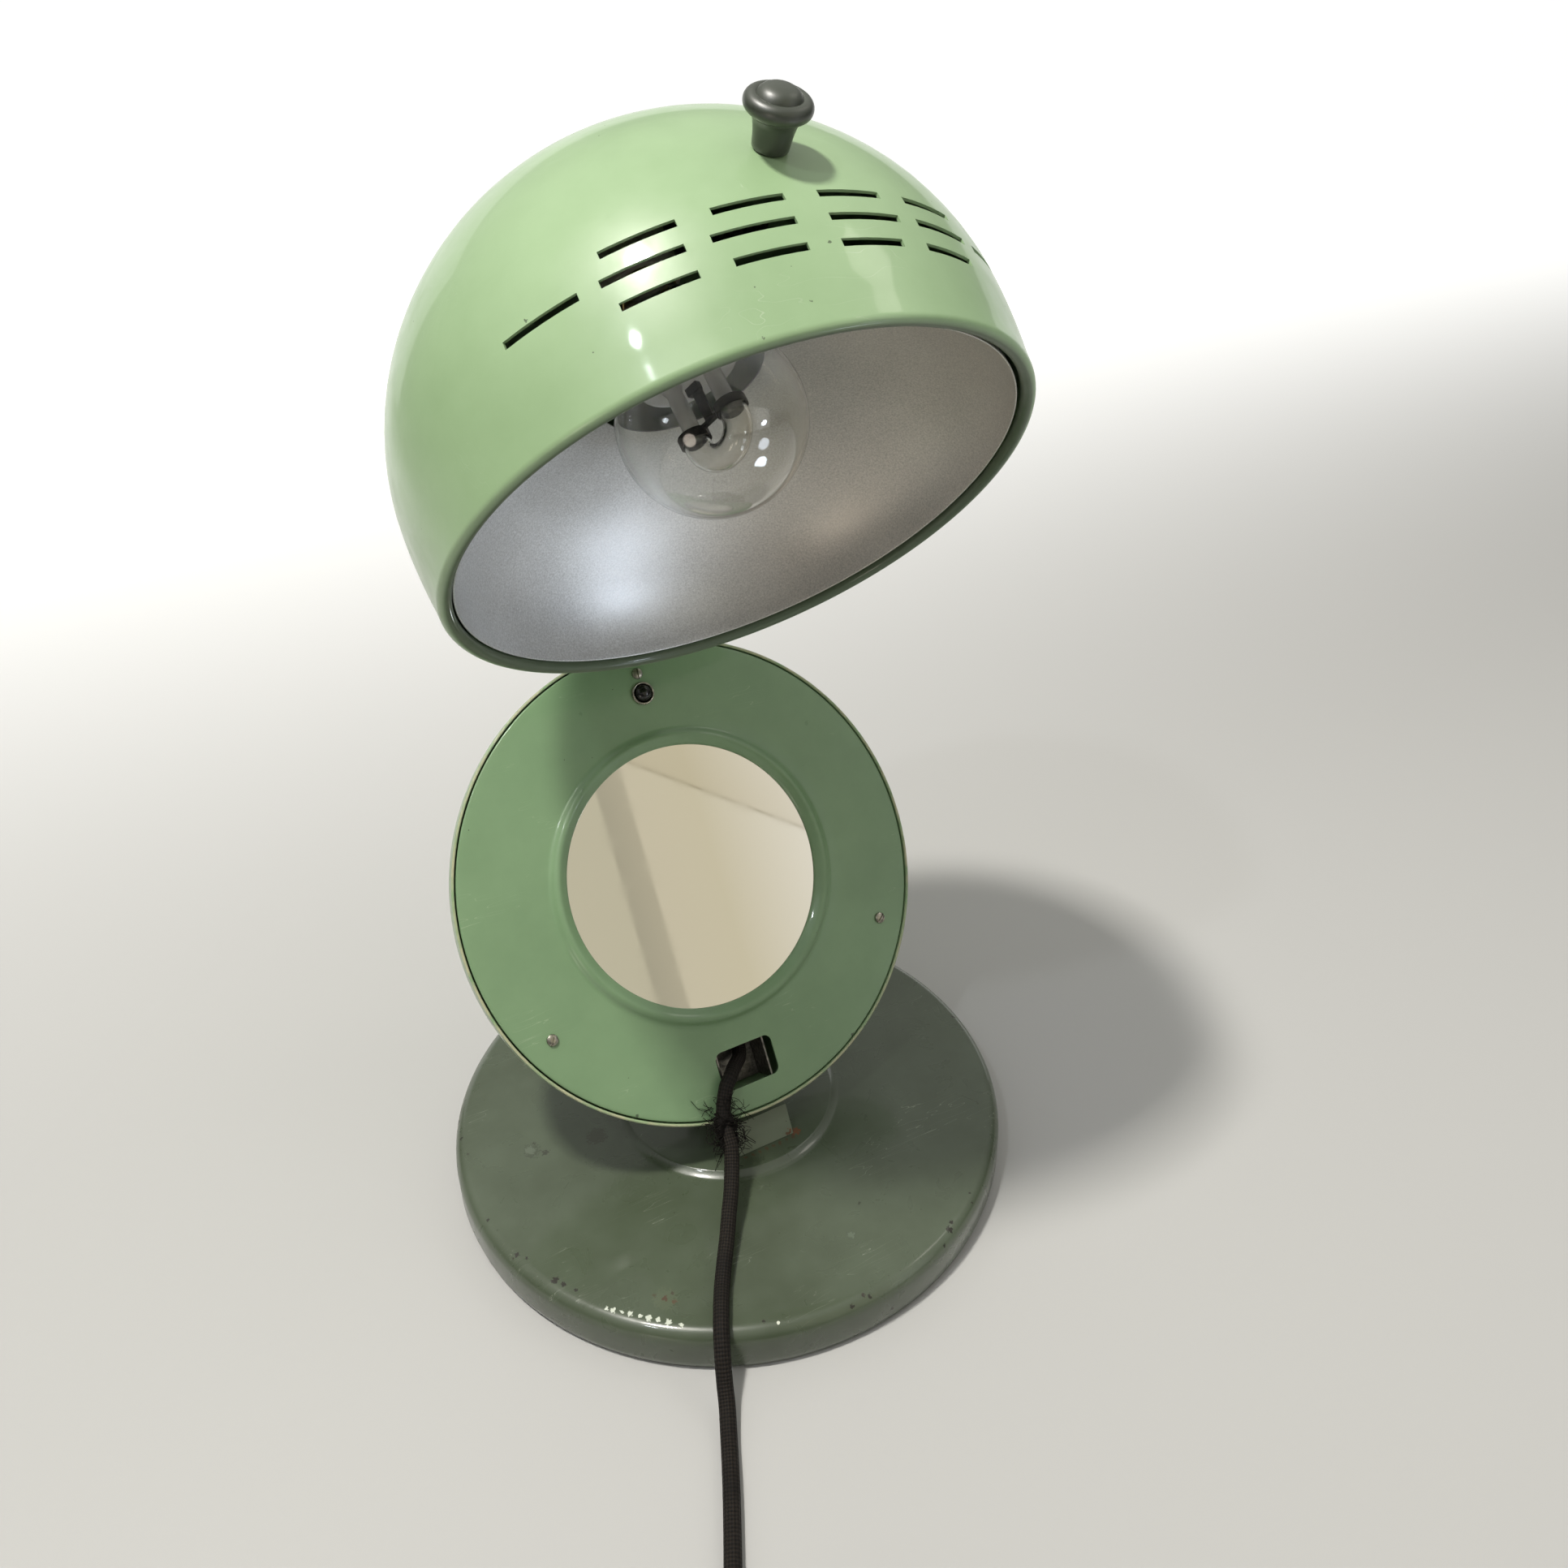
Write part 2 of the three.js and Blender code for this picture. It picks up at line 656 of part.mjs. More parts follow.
function buttonCollar() {
  const flange = panelFace + seat;
  return revolve([
    [collarBore, flange + 1.3], [collarRadius - 0.5, flange + 1.5], [collarRadius, flange + 1],
    [collarRadius, flange], [collarSleeve, flange], [collarSleeve, -switchDepth + seat], [collarBore, -switchDepth + seat],
  ], coarse);
}

function switchBody() {
  const half = switchWidth / 2;
  const body = block(-half, half, buttonY - half, buttonY + half, -switchDepth - 14, -switchDepth);
  const lugs = [-5, 5].map((x) => block(x - 2, x + 2, buttonY - 4, buttonY, -switchDepth - 18, -switchDepth - 13));
  return cut(join(body, ...lugs), rod(2.4, -switchDepth - 7, 0).translate(0, buttonY, 0));
}

function pushButton() {
  const rounding = 1.6;
  return revolve([
    [0, -switchDepth - 2], [2, -switchDepth - 2], [2, -6], [buttonRadius, -6], [buttonRadius, buttonProud - rounding],
    ...arc(buttonRadius - rounding, buttonProud - rounding, rounding, 20, 70, 2),
    [buttonRadius * 0.4, buttonProud + 0.3], [0, buttonProud + 0.4],
  ], coarse).translate(0, buttonY, 0);
}

add(housing, 'button_collar', buttonCollar().translate(0, buttonY, 0), nickel);
add(housing, 'switch_body', switchBody(), blackPlastic);
add(housing, 'push_button', pushButton(), blackPlastic);

// Cord tray: a channel folded behind the cord hole, its side walls' edges show in the hole
const trayTop = panelBack - seat;
const trayFloor = -trayDepth + traySheet;
const trayInnerLeft = trayLeft + traySheet;
const trayInnerRight = trayRight - traySheet;
const retainerReach = mirrorRadius + 11.6;
const trayStart = cordHoleY - cordHoleHeight / 2 - 1.2;
const clampBoreX = 1;
const clampBoreZ = -15;

function cordTray() {
  const step = -retainerReach - 1.5;
  const trayEnd = clampStart + 25.4;
  const outline = [
    [trayStart, -trayDepth], [trayEnd, -trayDepth], [trayEnd, -7.5], [step + 1, -7.5], [step, trayTop],
    [trayStart, trayTop],
  ];
  return cut(
    sideProfile(outline, trayLeft, trayRight),
    block(trayInnerLeft, trayInnerRight, trayStart - 1, 0, trayFloor, 5));
}

function cordClamp() {
  const bore = rod(cordRadius + 2 * holePlay, clampStart - 1, clampStart + 10, coarse).rotateX(-Math.PI / 2);
  return cut(
    block(trayInnerLeft + seat, trayInnerRight - seat, clampStart, clampStart + 9, trayFloor + seat, clampBoreZ + 6),
    bore.translate(clampBoreX, 0, clampBoreZ));
}

function terminalBlock() {
  const start = clampStart + 11.4;
  const body = block(-13, 6, start, start + 12, trayFloor + seat, -10);
  const screws = [-9, -3.5, 2].map((x) => rod(1.8, -14, -9).translate(x, start + 6, 0));
  return cut(body, ...screws);
}

add(housing, 'cord_tray', cordTray(), steel);
add(housing, 'cord_clamp', cordClamp(), blackPlastic);
add(housing, 'terminal_block', terminalBlock(), porcelain);

// Ballast: a laminated core on two feet, with its coil round the middle leg
function ballastCore() {
  const [w, l, s] = [ballastWidth / 2, ballastLength / 2, ballastStack / 2];
  const core = block(-w, w, ballastY - l, ballastY + l, ballastZ - s, ballastZ + s);
  const legs = w / 3;
  const windows = [-1, 1].map((side) => block(
    Math.min(side * legs, side * (legs + ballastWindow)), Math.max(side * legs, side * (legs + ballastWindow)),
    ballastY - l + 12, ballastY + l - 12, ballastZ - s - 1, ballastZ + s + 1));
  const feet = [-1, 1].map((side) => block(
    side * (w - 4) - 4, side * (w - 4) + 4, ballastY - l, ballastY + l, -rimDepth - backDepth - 5, ballastZ - s + 1));
  return common(cut(join(core, ...feet), ...windows), backBody(-housingWall - seat, backInnerRings, 0));
}

function ballastCoil() {
  const inner = ballastWidth / 6;
  const outer = inner + ballastWindow - seat;
  const tall = ballastStack / 2 + seat;
  const rise = 5.5;
  const half = ballastLength / 2 - 12 - seat;
  const body = block(-outer, outer, ballastY - half, ballastY + half, ballastZ - tall - rise, ballastZ + tall + rise);
  const leg = block(-inner - seat, inner + seat, ballastY - half - 1, ballastY + half + 1, ballastZ - tall, ballastZ + tall);
  return cut(body, leg);
}

add(housing, 'ballast_core', ballastCore(), castIron);
add(housing, 'ballast_coil', ballastCoil(), copperWire);

// Tilt lug: the knuckle between the bracket's ears, with a flange screwed to the housing's back
const lugHalf = bracketWidth / 2 - bracketSheet - seat;

function tiltLug() {
  const flange = between(lugFlangeEnd, lugFlangeStart, 4).map((r) => [-r, backSkin(r) - seat - lugFlange]);
  const under = between(lugFlangeStart, lugFlangeEnd, 2).map((r) => [-r, backSkin(r) + 8]);
  const flare = lugPinReach - 19.6;
  const knuckle = [
    [-lugFlangeEnd, backSkin(lugFlangeEnd) + 4],
    ...arc(lugPin.y, lugPin.z, bracketEarRadius - 0.5, 200, 330, 6),
    [-flare, backSkin(flare)],
  ];
  const body = join(sideProfile([...flange, ...under], -lugHalf, lugHalf), sideProfile(knuckle, -lugHalf, lugHalf));
  const pinHole = acrossAt(rod(pinPlay, -lugHalf - 1, lugHalf + 1, coarse), lugPin.y, lugPin.z);
  const screwHoles = lugScrewSpots.map(([x, y]) => onBack(rod(skinScrewRadius + holePlay, -5, 12), x, y));
  return cut(body, backBody(seat, backRings, 5), pinHole, ...screwHoles);
}

add(housing, 'tilt_lug', tiltLug(), baseEnamel);
lugScrewSpots.forEach(([x, y], i) => {
  const screw = slottedScrew(skinScrewHead, 2.2, skinScrewRadius, 9, 20 + 50 * i).translate(0, 0, lugFlange + 3 * seat);
  add(housing, `lug_screw_${i + 1}`, onBack(screw, x, y), nickel);
});

// Hood hinge: a channel bracket on the housing's back, ears beside the hood plate's ears
const hingeZ = hingeAboveLip + hoodClosedGap;
const hingeEarInner = hoodPlateHalf + 0.5;
const hingeEarOuter = hingeEarInner + hingeEar;
const hingeHole = hingePinRadius + holePlay;

function hingeBracket() {
  const lift = seat + hingeBracketSheet;
  const footLine = between(bracketFootStart, bracketFootEnd, 3).map((r) => [r, backSkin(r) - lift]);
  const webOuter = hingeReach + hingeBracketBack;
  const webInner = webOuter - hingeBracketSheet;
  const webTop = hingeZ - hingeEarRadius - 5.5;
  const outline = [
    ...footLine,
    [webOuter, -4],
    [webOuter, hingeZ - 10],
    ...arc(hingeReach, hingeZ, hingeEarRadius, 0, 180, 8),
    [hingeReach - hingeEarRadius, -2],
    [bracketFootEnd, -12],
    [bracketFootStart, backSkin(bracketFootStart) + 6],
  ];
  const inside = [
    [webOuter + 1, hingeZ + 20], [webOuter + 1, webTop], [webInner, webTop], [webInner, -3],
    [bracketFootEnd + 0.5, backSkin(bracketFootEnd) - seat], [bracketFootEnd + 0.5, hingeZ + 20],
  ];
  const wide = hingeEarOuter;
  return cut(
    sideProfile(outline, -wide, wide),
    sideProfile(inside, -hingeEarInner, hingeEarInner),
    backBody(seat, backRings, 4),
    acrossAt(rod(hingeHole, -wide - 1, wide + 1, coarse), hingeReach, hingeZ),
    ...bracketScrewSpots.map(([x, y]) => onBack(rod(skinScrewRadius + holePlay, -5, 12), x, y)));
}

function hingePin() {
  const end = hingeEarOuter + seat;
  return acrossAt(revolve([
    [hingePinBore, -end - 3], [6, -end - 3], [6.5, -end - 2.5], [6.5, -end], [hingePinRadius, -end],
    [hingePinRadius, end + 6.5], [hingePinBore, end + 6.5],
  ], coarse), hingeReach, hingeZ);
}

add(housing, 'hinge_bracket', hingeBracket(), panelEnamel);
bracketScrewSpots.forEach(([x, y], i) => {
  const screw = slottedScrew(skinScrewHead, 2.2, skinScrewRadius, 8, 70 - 60 * i)
    .translate(0, 0, hingeBracketSheet + 3 * seat);
  add(housing, `bracket_screw_${i + 1}`, onBack(screw, x, y), nickel);
});
add(housing, 'hinge_pin', hingePin(), nickel);
add(housing, 'hinge_washer',
  acrossAt(washer(hingeHole, 7.4, hingeEarOuter + seat, hingeEarOuter + seat + 1), hingeReach, hingeZ), nickel);
add(housing, 'hinge_nut',
  acrossAt(hexNut(7.2, hingeHole, hingeEarOuter + 2 * seat + 1, hingeEarOuter + 2 * seat + 5), hingeReach, hingeZ), nickel);

// Hood: its frame has Z from the lip plane towards the pole and +Y towards the hinge.
// It turns about the hinge axis from lying on the housing's rim to the pose in use.
const swing = place(new THREE.Group(), housing, 0, hingeReach, hingeZ);
swing.rotation.x = -hoodOpening * degrees;
const hood = place(new THREE.Group(), swing, 0, -hingeReach, -hingeAboveLip);

// Radius of the hood at a height above the lip, moved in by a wall
function hoodSkin(height, wall = 0) {
  if (height < hoodBelly) {
    const rest = 1 - (height - lipRadius) / (hoodBelly - lipRadius);
    return hoodRadius - wall - lipInset * rest * rest;
  }
  const climb = (height - hoodBelly) / (hoodDepth - wall - hoodBelly);
  return (hoodRadius - wall) * Math.pow(Math.max(1 - Math.pow(climb, hoodFullness), 0), 1 / hoodFullness);
}

// Outline from just above the lip to the pole
function hoodOutline(wall, steps) {
  const below = [0.35, 0.7].map((share) => {
    const height = lipRadius + share * (hoodBelly - lipRadius);
    return [hoodSkin(height, wall), height];
  });
  const dome = Array.from({ length: steps + 1 }, (_, i) => {
    const angle = 90 * degrees * i / steps;
    const power = 2 / hoodFullness;
    return [
      (hoodRadius - wall) * Math.pow(Math.max(Math.cos(angle), 0), power),
      hoodBelly + (hoodDepth - wall - hoodBelly) * Math.pow(Math.sin(angle), power),
    ];
  });
  return [...below, ...dome];
}

function hoodBody(wall, rings) {
  return revolve([[0, 0], [hoodSkin(lipRadius, wall), 0], ...hoodOutline(wall, rings)], fine);
}

const lipCentre = hoodRadius - lipInset - lipRadius;
const reflectorRadius = lipCentre - reflectorInset;
const bridgeHeight = hoodDepth - bridgeDrop;
const hoodPlateReach = hoodRadius + hoodPlateStandoff;
const ledge = lipRadius + 0.3;
const rivetSpots = [[-8.5, 27], [8.5, 27], [-8.5, 53], [8.5, 53]];
const rivetRadius = 1.9;
const rivetPlay = rivetRadius + holePlay;

function rivetHoles() {
  return rivetSpots.map(([x, z]) => rod(rivetPlay, hoodRadius - 12, hoodRadius + 9)
    .rotateX(-Math.PI / 2).translate(x, 0, z));
}

function ventSlot(height, from, to) {
  const [inner, outer] = [hoodRadius - 14, hoodRadius + 8];
  const outline = [...arc(0, 0, outer, from - 90, to - 90, 3), ...arc(0, 0, inner, to - 90, from - 90, 3)];
  return prism(outline, height - slotHeight / 2, height + slotHeight / 2);
}

function hoodShell() {
  const outline = [
    ...arc(lipCentre, lipRadius, lipRadius, -90, 0, 4),
    ...hoodOutline(0, hoodRings),
    ...hoodOutline(hoodWall, hoodInnerRings).reverse(),
    [hoodSkin(ledge + 1, hoodWall), ledge],
    [lipCentre, ledge],
  ];
  const slots = slotRows.flatMap(([height, spans]) => spans.flatMap(
    ([from, to]) => [ventSlot(height, from, to), ventSlot(height, -to, -from)]));
  const knobHole = onKnobSpot(rod(knobScrewRadius + holePlay, -6, 6));
  return cut(revolve(outline, fine), ...slots, ...rivetHoles(), knobHole);
}

// Knob: turned on its own axis, standing square on the hood's front
const knobSpot = hoodSkin(knobHeight);
const knobTilt = Math.atan(hoodSkin(knobHeight - 0.5) - hoodSkin(knobHeight + 0.5));

function onKnobSpot(geometry) {
  return geometry.rotateX(Math.PI / 2 - knobTilt).translate(0, -knobSpot, knobHeight);
}

function knob() {
  const beadRadius = 3.4;
  const bead = knobCapRadius - beadRadius;
  const beadHeight = knobLength - 6.4;
  const boreRadius = knobScrewRadius + holePlay;
  return revolve([
    [boreRadius, seat], [knobFootRadius - 0.5, seat], [knobFootRadius, seat + 0.6], [knobFootRadius + 0.3, 5],
    [knobFootRadius + 0.9, 8.6], [knobNeckRadius, 11.4], [knobNeckRadius + 0.6, 11.7],
    [knobNeckRadius + 0.6, beadHeight - beadRadius + 0.2],
    ...arc(bead, beadHeight, beadRadius, -60, 75, 5),
    [bead - 0.7, beadHeight + beadRadius - 0.5],
    [bead * 0.75, knobLength - 1.5], [bead * 0.45, knobLength - 0.4], [0, knobLength],
    [0, 10], [boreRadius, 10],
  ], 20);
}

function hoodHingePlate() {
  const middle = hingeAboveLip;
  const half = hoodPlateHeight / 2;
  const inside = hoodRadius - 13;
  const plate = block(-hoodPlateHalf, hoodPlateHalf, inside, hoodPlateReach, middle - half, middle + half);
  const earOutline = [
    [inside, middle - 15], [hoodPlateReach - 0.5, middle - 15],
    ...arc(hingeReach, middle, hingeEarRadius, -55, 55, 6),
    [hoodPlateReach - 0.5, middle + 15], [inside, middle + 15],
  ];
  const ears = [-hoodPlateHalf, hoodPlateHalf - hingeEar].map((x) => sideProfile(earOutline, x, x + hingeEar));
  return cut(
    join(plate, ...ears),
    hoodBody(-seat, hoodRings),
    acrossAt(rod(hingeHole, -30, 30, coarse), hingeReach, middle),
    ...rivetHoles());
}

function rivet() {
  const inside = hoodRadius - 5.6;
  const outside = hoodPlateReach + seat;
  return revolve([
    [0, inside], [3, inside], [3, inside + 1.8], [rivetRadius, inside + 2], [rivetRadius, outside],
    [3.3, outside], [2.9, outside + 1.2], [1.6, outside + 1.9], [0, outside + 2.1],
  ], small).rotateX(-Math.PI / 2);
}

add(hood, 'hood_shell', hoodShell(), hoodEnamel);
add(hood, 'knob', onKnobSpot(knob()), knobLacquer);
add(hood, 'knob_screw',
  onKnobSpot(slottedScrew(4, 2.2, knobScrewRadius, 11).rotateX(Math.PI).translate(0, 0, -hoodWall - 4 * seat)), steel);
add(hood, 'hood_hinge_plate', hoodHingePlate(), hoodEnamel);
rivetSpots.forEach(([x, z], i) => add(hood, `hood_rivet_${i + 1}`, rivet().translate(x, 0, z), hoodEnamel));
// Reflector: a shallow bowl whose flange stands on the lip's ledge
function reflector() {
  const foot = ledge + seat;
  const flange = hoodSkin(foot, hoodWall) - 0.8;
  const end = Math.acos(reflectorHole / reflectorRadius) / degrees;
  const bowl = (offset, from, to, steps) => Array.from({ length: steps + 1 }, (_, i) => {
    const angle = (from + (to - from) * i / steps) * degrees;
    return [(reflectorRadius + offset) * Math.cos(angle), foot + (reflectorHeight + offset) * Math.sin(angle)];
  });
  return revolve([
    [flange, foot], ...bowl(0, 0, end, 6), ...bowl(reflectorSheet, end, 1, 6), [flange, foot + reflectorSheet],
  ], 32);
}

// Bridge across the hood above the lamp, with the porcelain lamp holder under it
function socketBridge() {
  const strap = block(-90, 90, -bridgeWidth / 2, bridgeWidth / 2, bridgeHeight, bridgeHeight + bridgeSheet);
  const hole = rod(2.3, bridgeHeight - 1, bridgeHeight + 10);
  return cut(common(strap, hoodBody(hoodWall + seat, hoodInnerRings)), hole);
}

function socketScrew() {
  return slottedScrew(3.8, 2.4, 2, 7.5, 25).translate(0, 0, bridgeHeight + bridgeSheet + seat);
}

const socketTop = bridgeHeight - seat;
const socketBottom = socketTop - socketLength;

function lampSocket() {
  const bore = capRadius + 1;
  return revolve([
    [2.3, socketTop - 7], [2.3, socketTop], [socketRadius - 2, socketTop], [socketRadius, socketTop - 3],
    [socketRadius, socketBottom + 4], [socketRadius - 2, socketBottom], [bore, socketBottom], [bore, socketTop - 7],
  ], 24);
}

add(hood, 'reflector', reflector(), aluminiumPaint);
add(hood, 'socket_bridge', socketBridge(), steel);

add(hood, 'lamp_socket', lampSocket(), porcelain);
add(hood, 'socket_screw', socketScrew(), steel);

// Lamp: made about its own axis, which leans a little in the holder. Heights are above the lip.
const capTop = socketTop - 8;
const capBottom = capTop - capLength;
const bulbPivot = (capTop + socketBottom) / 2;
const bulbLeaning = place(new THREE.Group(), hood, 0, 0, bulbPivot);
bulbLeaning.rotation.y = -bulbLean * degrees;
const bulb = place(new THREE.Group(), bulbLeaning, 0, 0, -bulbPivot);
const neckEnd = capRadius - 1 - 0.6;

function bulbCap() {
  const inner = capRadius - 1;
  return revolve([
    [inner, capBottom], [capRadius, capBottom], [capRadius, capTop - 1.5], [capRadius - 1.5, capTop],
    [0, capTop], [0, capTop - 2], [inner, capTop - 2],
  ], coarse);
}

function bulbGlobe() {
  const outline = (wall, steps) => {
    const radius = globeRadius - wall;
    const end = 90 - Math.asin((neckRadius - wall) / radius) / degrees;
    return [
      ...arc(0, globeHeight, radius, -90, end, steps),
      [neckRadius - wall, capBottom - 19],
      [neckRadius - wall - 2.5, capBottom - 13],
      [neckEnd - wall + 1.5, capBottom - 3],
      [neckEnd - wall, capBottom],
      [neckEnd - wall, capBottom + 4],
    ];
  };
  return revolve([...outline(0, 7), ...outline(glassWall, 5).reverse()], 20);
}

// The quartz burner is a U tube. Its ends are held in two dark caps on a strap, under two glass legs.
const burnerBend = burnerBottom + burnerRadius + burnerSpread;

function burnerTube() {
  const half = arc(0, burnerBend, burnerSpread, -180, 0, 10);
  const line = [[-burnerSpread, burnerTop], ...half, [burnerSpread, burnerTop]];
  return sweep(line.map(([x, z]) => new THREE.Vector3(x, 0, z)), burnerRadius, small);
}

function burnerClip() {
  const inner = burnerRadius + seat;
  const cup = revolve([
    [inner, burnerClipHeight - 4.5], [inner + 0.8, burnerClipHeight - 4.5], [inner + 0.8, burnerClipHeight],
    [0, burnerClipHeight], [0, burnerTop + seat], [inner, burnerTop + seat],
  ], coarse);
  const cups = [-1, 1].map((side) => cup.clone().translate(side * burnerSpread, 0, 0));
  const bar = block(-burnerSpread + 5, burnerSpread - 5, -1.5, 1.5, burnerTop + 0.5, burnerClipHeight);
  const strap = block(-2.5, 2.5, -0.8, 0.8, burnerTop + 0.5, flareHeight - 6);
  const hook = block(-4.5, 2.5, -1.6, 1.6, flareHeight - 9, flareHeight - 5);
  return join(...cups, bar, strap, hook);
}

function burnerStem() {
  const legs = [-1, 1].map((side) => rod(stemLegRadius, burnerClipHeight + seat, flareHeight + 1)
    .translate(side * (burnerSpread - 0.7), 0, 0));
  const stem = revolve([
    [0, flareHeight], [flareRadius, flareHeight], [flareRadius, flareHeight + 1.6], [7, flareHeight + 2.4],
    [5, capBottom - 12], [5, capBottom + 6], [capRadius - 1.5, capBottom + 8], [capRadius - 1.5, capBottom + 10],
    [0, capBottom + 10],
  ], 24);
  return join(stem, ...legs);
}

const turned = burnerTurn * degrees;
add(bulb, 'bulb_cap', bulbCap(), brass);
add(bulb, 'bulb_globe', bulbGlobe(), clearGlass);
add(bulb, 'burner_stem', burnerStem().rotateZ(-turned), porcelain);
add(bulb, 'burner_clip', burnerClip().rotateZ(-turned), darkMetal);
add(bulb, 'burner_tube', burnerTube().rotateZ(-turned), clearGlass);

// Cord, first part: from the clamp in the tray, out of the cord hole and over the housing's rim
const rimCrossing = [-24.9, -125.5, 5.6];
const bindingEnd = [-25.9, -134, 8.6];
const leadPath = [
  [clampBoreX, clampStart + 8, clampBoreZ],
  [clampBoreX, clampStart - 2, clampBoreZ],
  [0.6, -93, -14.3],
  [-1.6, -99, -11.3],
  [-7, -101.6, -6],
  [-10, -102.6, -2.3],
  [-12.4, -103.5, 1],
  [-15.1, -105, 3.6],
  [-18, -107.6, 4.5],
  [-20.6, -112, 4.6],
  [-23.1, -117.2, 4.9],
  [-24.6, -121.6, 5.1],
  rimCrossing,
  [-25.13, -127.5, 6.3],
  [-25.37, -129.5, 7.01],
];

function alongBinding(share) {
  return new THREE.Vector3(...rimCrossing).lerp(new THREE.Vector3(...bindingEnd), share);
}

function cordBinding() {
  const inner = cordRadius + 1.5 * seat;
  const outer = inner + bindingThickness;
  const sleeve = revolve([
    [inner, 0], [outer - 0.3, 0], [outer, 0.5], [outer, bindingLength - 0.5], [outer - 0.3, bindingLength],
    [inner, bindingLength],
  ], coarse);
  const along = alongBinding(1).sub(alongBinding(0)).normalize();
  const turn = new THREE.Quaternion().setFromUnitVectors(new THREE.Vector3(0, 0, 1), along);
  return sleeve.applyQuaternion(turn).translate(...alongBinding(0.12));
}

add(housing, 'cord_lead', sweep(smoothLine(leadPath, 26), cordRadius, cordSides), braid);
add(housing, 'cord_binding', cordBinding(), felt);

// Cord, second part: from the binding down over the base's edge and along the table to the coil
lamp.updateMatrixWorld(true);
const coilLow = cordRadius + tieThickness + 0.4;
const coilHigh = coilLow + coilPitch;
const coilStart = coilStartAngle * degrees;
const coilHeading = [-Math.sin(coilStart), Math.cos(coilStart)];
const coilEntry = [
  coilCentre[0] + coilRadius * Math.cos(coilStart) - coilStraight * coilHeading[0],
  coilCentre[1] + coilRadius * Math.sin(coilStart) - coilStraight * coilHeading[1],
];
const freeStart = housing.localToWorld(alongBinding(0.52));
const freeNext = housing.localToWorld(alongBinding(0.85));
const freeAfter = housing.localToWorld(alongBinding(1.15));
const onTable = cordRadius + 0.2;
const freePath = [
  [...freeStart],
  [...freeNext],
  [...freeAfter],
  [-29.4, -65.2, 43.6],
  [-35.2, -75.3, 38.5],
  [-40.8, -83.7, 34.8],
  [-46.4, -92.7, 32],
  [-52.9, -102.6, 29.8],
  [-59.1, -112.5, 28.5],
  [-64.4, -122.3, 28.6],
  [-69.5, -132.5, 27],
  [-72.8, -139.9, 21.3],
  [-75.6, -146.9, 13],
  [-77.6, -152.6, 8.6],
  [-82.4, -163.7, 5],
  [-91.3, -183.7, onTable],
  [-105, -212.2, onTable],
  [coilEntry[0] - 22 * coilHeading[0], coilEntry[1] - 22 * coilHeading[1], coilLow - 0.3],
  [coilEntry[0] - seat * coilHeading[0], coilEntry[1] - seat * coilHeading[1], coilLow],
];
add(base, 'cord_free', sweep(smoothLine(freePath, cordSteps), cordRadius, cordSides), braid);

// Cord, third part: wound up flat in two layers, inwards below and outwards above, and tied
function coilPoint(turn) {
  const middle = coilTurns / 2;
  const radius = coilRadius - coilPitch * (middle - Math.abs(turn - middle));
  const climb = THREE.MathUtils.smoothstep(turn, middle - 0.25, middle + 0.25);
  const angle = coilStart + 2 * Math.PI * turn;
  return new THREE.Vector3(
    coilCentre[0] + radius * Math.cos(angle), coilCentre[1] + radius * Math.sin(angle), coilLow + coilPitch * climb);
}

const coilSteps = Math.round(coilTurns * coilLoopSteps);
const coilLine = Array.from({ length: coilSteps + 1 }, (_, i) => coilPoint(coilTurns * i / coilSteps));
const tailAngle = coilStart + 2 * Math.PI * coilTurns + Math.PI / 2;
const tailHeading = new THREE.Vector3(Math.cos(tailAngle), Math.sin(tailAngle), 0);
const plugHeight = plugRadius + 0.1;

function tailPoint(distance) {
  const share = THREE.MathUtils.smoothstep(distance, 4, tailLength - 9);
  const point = coilPoint(coilTurns).addScaledVector(tailHeading, distance);
  point.z = coilHigh + (plugHeight - coilHigh) * share;
  return point;
}

const coilPoints = [
  new THREE.Vector3(coilEntry[0], coilEntry[1], coilLow),
  new THREE.Vector3(...coilEntry, coilLow).lerp(coilLine[0], 0.5),
  ...coilLine,
  ...[8, 16, 24, 32, 38, tailLength - 8.6, tailLength].map(tailPoint),
];
add(base, 'cord_coil', sweep(coilPoints, cordRadius, 6), braid);

// Least gap between the coil's loops: points half a loop or more apart, less the cord's thickness
function leastGap(points, apart) {
  const distances = points.flatMap((point, i) => points.slice(i + apart).map((other) => point.distanceTo(other)));
  return Math.min(...distances) - 2 * cordRadius;
}
console.log(`least gap between the coil's loops: ${leastGap(coilLine, coilLoopSteps / 2).toFixed(2)} mm`);

const tieAngle = 30;
const tieTurn = (tieAngle + 360 - coilStartAngle) / 360;

function cordTie() {
  const outermost = coilPoint(tieTurn);
  const inmost = coilPoint(tieTurn + Math.floor(coilTurns / 2 - tieTurn));
  const reach = (point) => Math.hypot(point.x - coilCentre[0], point.y - coilCentre[1]);
  const [near, far] = [reach(inmost) - cordRadius - 0.8, reach(outermost) + cordRadius + 0.5];
  const [low, high] = [coilLow - cordRadius - seat, coilHigh + cordRadius + seat];
  const band = (grow) => sideProfile([
    [near - grow, low + 3], [near - grow + 2, low - grow], [far + grow - 2, low - grow], [far + grow, low + 3],
    [far + grow, high - 3], [far + grow - 3, high + grow], [near - grow + 3, high + grow], [near - grow, high - 3],
  ], -4, 4);
  const wider = band(0).scale(2, 1, 1);
  return toGeometry(toSolid(band(tieThickness)).subtract(toSolid(wider)));
}

add(base, 'cord_tie',
  cordTie().rotateZ((tieAngle - 90) * degrees).translate(coilCentre[0], coilCentre[1], 0), felt);

// Plug on the cord's end, made along Z from the gland to the face and laid down
const gland = tailLength - 8;
const plug = place(new THREE.Group(), base, ...tailPoint(gland));
plug.rotation.set(0, Math.PI / 2, tailAngle, 'ZYX');

